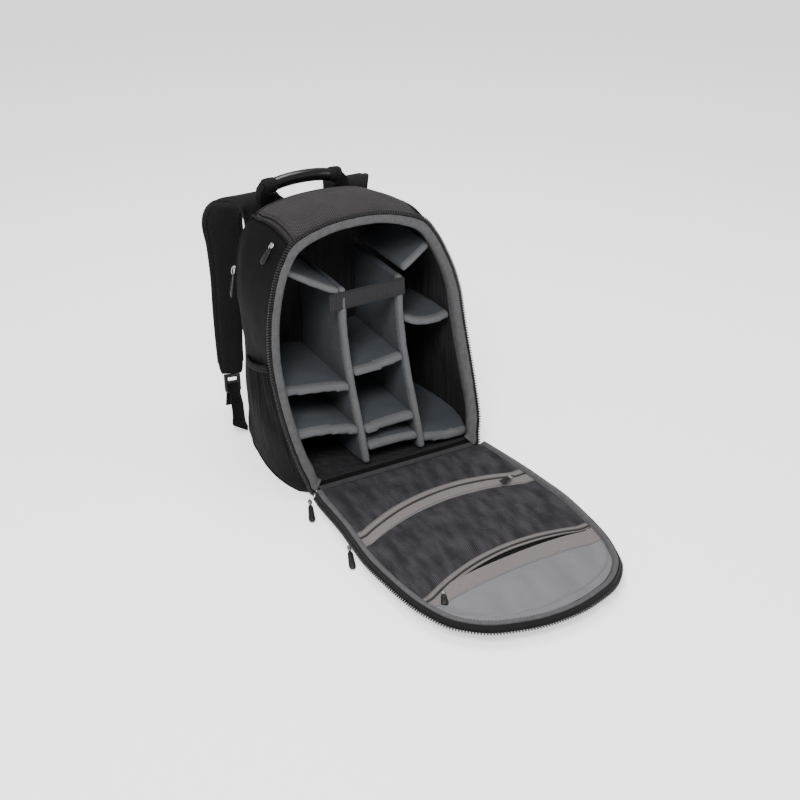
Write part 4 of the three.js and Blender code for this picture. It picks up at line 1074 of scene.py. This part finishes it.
def divider(node):
    """A padded board with rounded edges and a lighter bound front edge."""
    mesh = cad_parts[node].data.copy()
    piece = add_object(f"{node}_pad", mesh)
    mesh.materials.clear()
    mesh.materials.append(LOOP)
    mesh.materials.append(LOOP_EDGE)
    remesh = piece.modifiers.new("remesh", "REMESH")
    remesh.mode = "VOXEL"
    remesh.voxel_size = 2.6 * MM
    soften = piece.modifiers.new("soften", "SMOOTH")
    soften.factor = 0.6
    soften.iterations = 7
    graph = bpy.context.evaluated_depsgraph_get()
    done = bpy.data.meshes.new_from_object(piece.evaluated_get(graph))
    piece.modifiers.clear()
    piece.data = done
    coordinates = np.empty(len(done.vertices) * 3)
    done.vertices.foreach_get("co", coordinates)
    points = coordinates.reshape(-1, 3) / MM
    normals = np.array([v.normal for v in done.vertices])
    points += normals * (soft_noise(points, 34, 2.0) * 0.7 + 0.5)[:, None]
    done.vertices.foreach_set("co", (points * MM).ravel())
    centres = np.array([face.center for face in done.polygons]) / MM
    front = rim_y(centres[:, 2]) + 12
    seam = 9.0 + soft_noise(centres, 30, 6.0) * 0.8
    facing = np.array([face.normal.y for face in done.polygons])
    edge = (centres[:, 1] - front < seam) & (facing < 0.9)
    done.polygons.foreach_set("material_index", edge.astype(int))
    done.shade_smooth()
    done.update()
    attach(piece, BODY)
    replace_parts(piece, node)


def hold_strap():
    """Flat strap over the middle bay, stitched along both edges, with a slight sag."""
    t = np.linspace(0, 1, 60)
    low, high = node_box("hold_down_strap")
    z = 253 + 3 * t
    sag = np.sin(math.pi * t)
    path = np.stack([mix(low[0], high[0], t), rim_y(z) + 10.6 + 2.2 * sag, z - 0.8 * sag], -1)
    flat = [(-13.5, -0.9), (13.5, -0.9), (13.7, 0), (13.5, 0.9), (-13.5, 0.9), (-13.7, 0)]
    piece = swept("hold_down_strap_webbing", path, Z_AXIS, flat, STRAP_GREY)
    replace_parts(piece, "hold_down_strap")
    for name, offset in (("low", -11.6), ("high", 11.6)):
        stitches(f"hold_strap_stitches_{name}", path + [0, -1.1, offset], Z_AXIS, STRAP_STITCH, THREAD)


# Carrying gear

BACK_PLANE = mix(SIDE_Y, BACK_Y, math.sin(math.radians(BACK_SWEEP)))


def shoulder_strap(side, label):
    steps = 150
    rows = [(HARNESS_OFFSET + side * out, BACK_PLANE + STRAP_ROOT_LIFT + behind, height)
            for behind, height, out in STRAP_ROWS]
    path = spline(rows, np.linspace(0, len(rows) - 1, steps))
    t = np.linspace(0, 1, steps)
    width = STRAP_WIDTH - (STRAP_WIDTH - STRAP_END_WIDTH) * smoothstep(t, 0.4, 1)
    thick = STRAP_THICKNESS * (0.55 + 0.45 * smoothstep(t, 0, 0.15)) * (1 - 0.35 * smoothstep(t, 0.85, 1))
    end_round = np.sqrt(np.clip(1 - ((t - 0.955) / 0.05).clip(0, 1) ** 2, 0.05, 1))
    start_round = np.sqrt(np.clip(1 - ((0.03 - t) / 0.03).clip(0, 1) ** 2, 0.05, 1))
    width = width * mix(1, end_round, 0.35) * mix(1, start_round, 0.3)
    thick = thick * mix(1, start_round, 0.5)
    turn = 2 * math.pi * np.arange(36) / 36
    x = np.copysign(np.abs(np.cos(turn)) ** 0.55, np.cos(turn))
    y = np.copysign(np.abs(np.sin(turn)) ** 0.8, np.sin(turn))
    channel = 0.35 * bell(np.abs(x), 0.8, 0.07)
    fold = 0.5 * bell(t, 0.12, 0.05)[:, None] * bell(x, 0, 0.16)
    sections = np.stack([width[:, None] / 2 * x, thick[:, None] / 2 * y * (1 - channel - fold)], -1)
    piece = swept(f"padded_strap_{label}", path, X_AXIS, sections, SPACER)
    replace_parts(piece, f"shoulder_strap_{label}")
    _, a, _ = frames_along(path, X_AXIS)
    keep = slice(2, steps - 6)
    for edge in (-1, 1):
        name = "outer" if edge == side else "inner"
        line = path + a * (edge * (width / 2 - 0.4))[:, None]
        swept(f"strap_binding_{label}_{name}", line[keep], a[keep], ring(1.9, 2.5, 8), PIPING)


def copy_of_node(node, name, material, bevel):
    """The node's own shape as a new piece, with rounded edges."""
    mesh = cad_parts[node].data.copy()
    work = bmesh.new()
    work.from_mesh(mesh)
    bmesh.ops.remove_doubles(work, verts=work.verts, dist=1e-5)
    bmesh.ops.dissolve_limit(work, angle_limit=math.radians(1), verts=work.verts, edges=work.edges)
    edges = [e for e in work.edges if len(e.link_faces) == 2 and e.calc_face_angle() > math.radians(35)]
    bmesh.ops.bevel(work, geom=edges, offset=bevel * MM, segments=2, profile=0.6, affect="EDGES",
                    clamp_overlap=True)
    bmesh.ops.triangulate(work, faces=[f for f in work.faces if len(f.verts) > 4])
    work.to_mesh(mesh)
    work.free()
    mesh.materials.clear()
    mesh.materials.append(material)
    mesh.shade_smooth()
    mesh.set_sharp_from_angle(angle=math.radians(50))
    piece = add_object(name, mesh)
    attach(piece, BODY)
    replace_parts(piece, node)


def build_gear():
    for side, label in ((-1, "left"), (1, "right")):
        shoulder_strap(side, label)
        copy_of_node(f"ladder_lock_{label}", f"ladder_lock_moulding_{label}", PLASTIC, 0.7)
        for node, name, bevel in (
            ("strap_webbing", "webbing_to_base", 0.4), ("strap_tail", "webbing_tail", 0.4),
            ("strap_anchor", "webbing_anchor", 0.8), ("handle_foot", "handle_webbing", 1.2),
        ):
            copy_of_node(f"{node}_{label}", f"{name}_{label}", WEBBING, bevel)
    copy_of_node("handle_grip", "handle_moulded_grip", GLOSSY, 1.5)
    handle_sleeves()


def handle_sleeves():
    """Webbing wrapped round each end of the grip."""
    points = node_points("handle_grip")
    steps = 12
    for label, end in (("left", points[:, 0].min()), ("right", points[:, 0].max())):
        away = np.abs(points[:, 0] - end)
        near = points[away < 12].mean(0)
        far = points[(away > 12) & (away < 30)].mean(0)
        path = near + unit(far - near) * np.linspace(-11, 9, steps)[:, None]
        wide = 1 - 0.12 * np.linspace(-1, 1, steps) ** 4
        sections = np.array([ring(11.5 * w, 11.0 * w, 20) for w in wide])
        swept(f"handle_sleeve_{label}", path, Y_AXIS, sections, WEBBING)


# Side pockets

def side_pocket(side, label):
    """Gathered mesh pocket with an elastic hem on the side of the bag."""
    columns, rows = 110, 60
    t = np.linspace(0, 1, columns)
    s = np.linspace(0, 1, rows)[:, None]
    u = np.linspace(0, 1, 7)[:, None]
    depths = mix(*SIDE_POCKET_DEPTHS, t)
    heights = mix(SIDE_POCKET_FRONT, SIDE_POCKET_BACK, t)
    hem_low = np.array([row_at(d, h) for d, h in zip(depths, heights)])
    hem_high = np.array([row_at(d, h + HEM_HEIGHT) for d, h in zip(depths, heights)])

    def wall(row):
        """Points and normals of the bag's side at rows up the pocket."""
        row = row if side > 0 else LOOP_ROWS - row
        depth = np.broadcast_to(depths, row.shape)
        return shell(row, depth), shell_normal(row, depth)

    bow = np.sin(math.pi * t)
    stand = SIDE_POCKET_BULGE * bow ** 0.8
    base, normal = wall(mix(SIDE_POCKET_FOOT_ROW, hem_low, s))
    gather = np.sin(t * 88 + 2.2 * np.sin(t * 19)) * (0.9 * smoothstep(s, 0.45, 1) + 0.15) * bow ** 0.5
    full = np.sin(math.pi * s) * (2.0 * bow + soft_noise(base, 30, 4.0))
    lift = (1.6 + stand * smoothstep(s, 0, 1) + gather + full)[..., None]
    outer = base + normal * lift
    piece = slab(f"side_mesh_{label}", outer, base + normal * (lift - 0.9), SIDE_MESH)
    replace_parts(piece, f"side_pocket_{label}")
    base, normal = wall(mix(hem_low, hem_high, u))
    lift = (3.0 + stand + 0.45 * np.sin(t * 130) + 0.9 * np.sin(math.pi * u))[..., None]
    hem = slab(f"side_hem_{label}", base + normal * lift, base + normal * (lift - 2.2), WEBBING)
    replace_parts(hem, f"side_pocket_hem_{label}")


# Zip pulls: share of the length, half width, half thickness

SLIDER_ROWS = ((0, 2.2, 1.2), (0.03, 3.0, 1.7), (0.12, 3.1, 1.8), (0.18, 2.4, 1.5), (0.22, 1.6, 1.0))
GRIP_ROWS = (
    (0.24, 1.7, 1.1), (0.34, 3.7, 1.8), (0.6, 4.2, 2.0), (0.86, 4.8, 2.2), (0.95, 4.4, 2.0), (1, 2.9, 1.2),
)
RIDGES = (0.5, 0.58, 0.66, 0.74, 0.82)


def zip_pull(node):
    """Metal slider with its bow, and a moulded pull, on the line of the CAD piece."""
    points = node_points(node)
    centre = points.mean(0)
    _, _, axes = np.linalg.svd(points - centre, full_matrices=False)
    axis = axes[0]
    if axis[2] > 0.3 or (abs(axis[2]) <= 0.3 and axis[1] > 0):
        axis = -axis
    along = (points - centre) @ axis
    up = axes[2] if axes[2] @ unit(centre - np.array([0, 60, 150])) > 0 else -axes[2]
    if abs(axis[2]) < 0.5:
        up = Z_AXIS
    up = unit(up - axis * (up @ axis))
    width = np.cross(up, axis)
    length = np.ptp(along)

    def at(share):
        return centre + axis * (along.min() + share * length)

    for part, rows, material in (("slider", SLIDER_ROWS, SILVER), ("grip", GRIP_ROWS, RUBBER)):
        place, half_width, half_thick = np.array(rows).T
        fine = np.linspace(place[0], place[-1], 26)
        path = np.array([at(v) for v in fine])
        half_width = np.interp(fine, place, half_width)
        half_thick = np.interp(fine, place, half_thick) * 0.95
        sections = np.array([ring(a, b, 14) for a, b in zip(half_width, half_thick)])
        piece = swept(f"{node}_{part}", path, width, sections, material)
    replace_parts(piece, node)
    ridges = np.array([at(v) + up * 1.9 for v in RIDGES])
    ways = (np.tile(way, (len(ridges), 1)) for way in (width, axis, up))
    studs(f"{node}_ridges", ridges, *ways, (6.0, 1.0, 0.8), RUBBER, "moulded_black")
    turns = np.linspace(0, math.pi, 20)[:, None]
    bow = at(0.12) - axis * np.cos(turns) * 0.13 * length + up * (1.8 + 2.0 * np.sin(turns))
    swept(f"{node}_wire", bow, width, ring(0.7, corners=8), SILVER)


# Stage

def aim(thing, place, target):
    thing.location = place
    thing.rotation_euler = (Vector(target) - Vector(place)).to_track_quat("-Z", "Y").to_euler()


def area_light(name, place, target, size, watts):
    data = bpy.data.lights.new(name, "AREA")
    data.shape = "DISK"
    data.size = size
    data.energy = watts
    aim(add_object(name, data), place, target)


def build_stage():
    mesh = bpy.data.meshes.new("floor")
    corners = [(x * 30, y * 30, -0.0006) for x, y in ((-1, -1), (1, -1), (1, 1), (-1, 1))]
    mesh.from_pydata(corners, [], [(0, 1, 2, 3)])
    floor = add_object("floor", mesh)
    white = Surface("floor_white", 0.9, specular=0.1)
    white.put(white.shader["Base Color"], (0.9, 0.9, 0.9))
    white.put(white.shader["Emission Color"], (1, 1, 1))
    white.put(white.shader["Emission Strength"], 0.9)
    mesh.materials.append(white.material)
    world = bpy.data.worlds.new("studio")
    bpy.context.scene.world = world
    world.use_nodes = True
    background = world.node_tree.nodes["Background"]
    background.inputs["Color"].default_value = (1, 1, 1, 1)
    background.inputs["Strength"].default_value = 0.62
    area_light("key_soft_box", (-0.9, -1.1, 1.7), (0, -0.1, 0.15), 0.9, 46)
    area_light("fill_soft_box", (1.5, -1.2, 1.1), (0, -0.1, 0.15), 1.2, 10)
    area_light("top_soft_box", (0.1, 0.5, 2.0), (0, 0, 0.2), 1.1, 30)


def build_camera():
    data = bpy.data.cameras.new("camera")
    data.lens = CAMERA_LENS_MM
    data.sensor_width = SENSOR_MM
    camera = add_object("camera", data)
    aim(camera, CAMERA_AT, CAMERA_TARGET)
    bpy.context.scene.camera = camera


build_camera()
build_stage()
build_shell()
back_panel()
build_rim()
build_lid()
for part in DIVIDERS:
    divider(f"divider_{part}")
hold_strap()
build_gear()
side_pocket(-1, "left")
side_pocket(1, "right")
for place in ("rim", "lid_pocket", "side_upper", "side_rear", "band_hinge", "band_tip"):
    zip_pull(f"zip_pull_{place}")
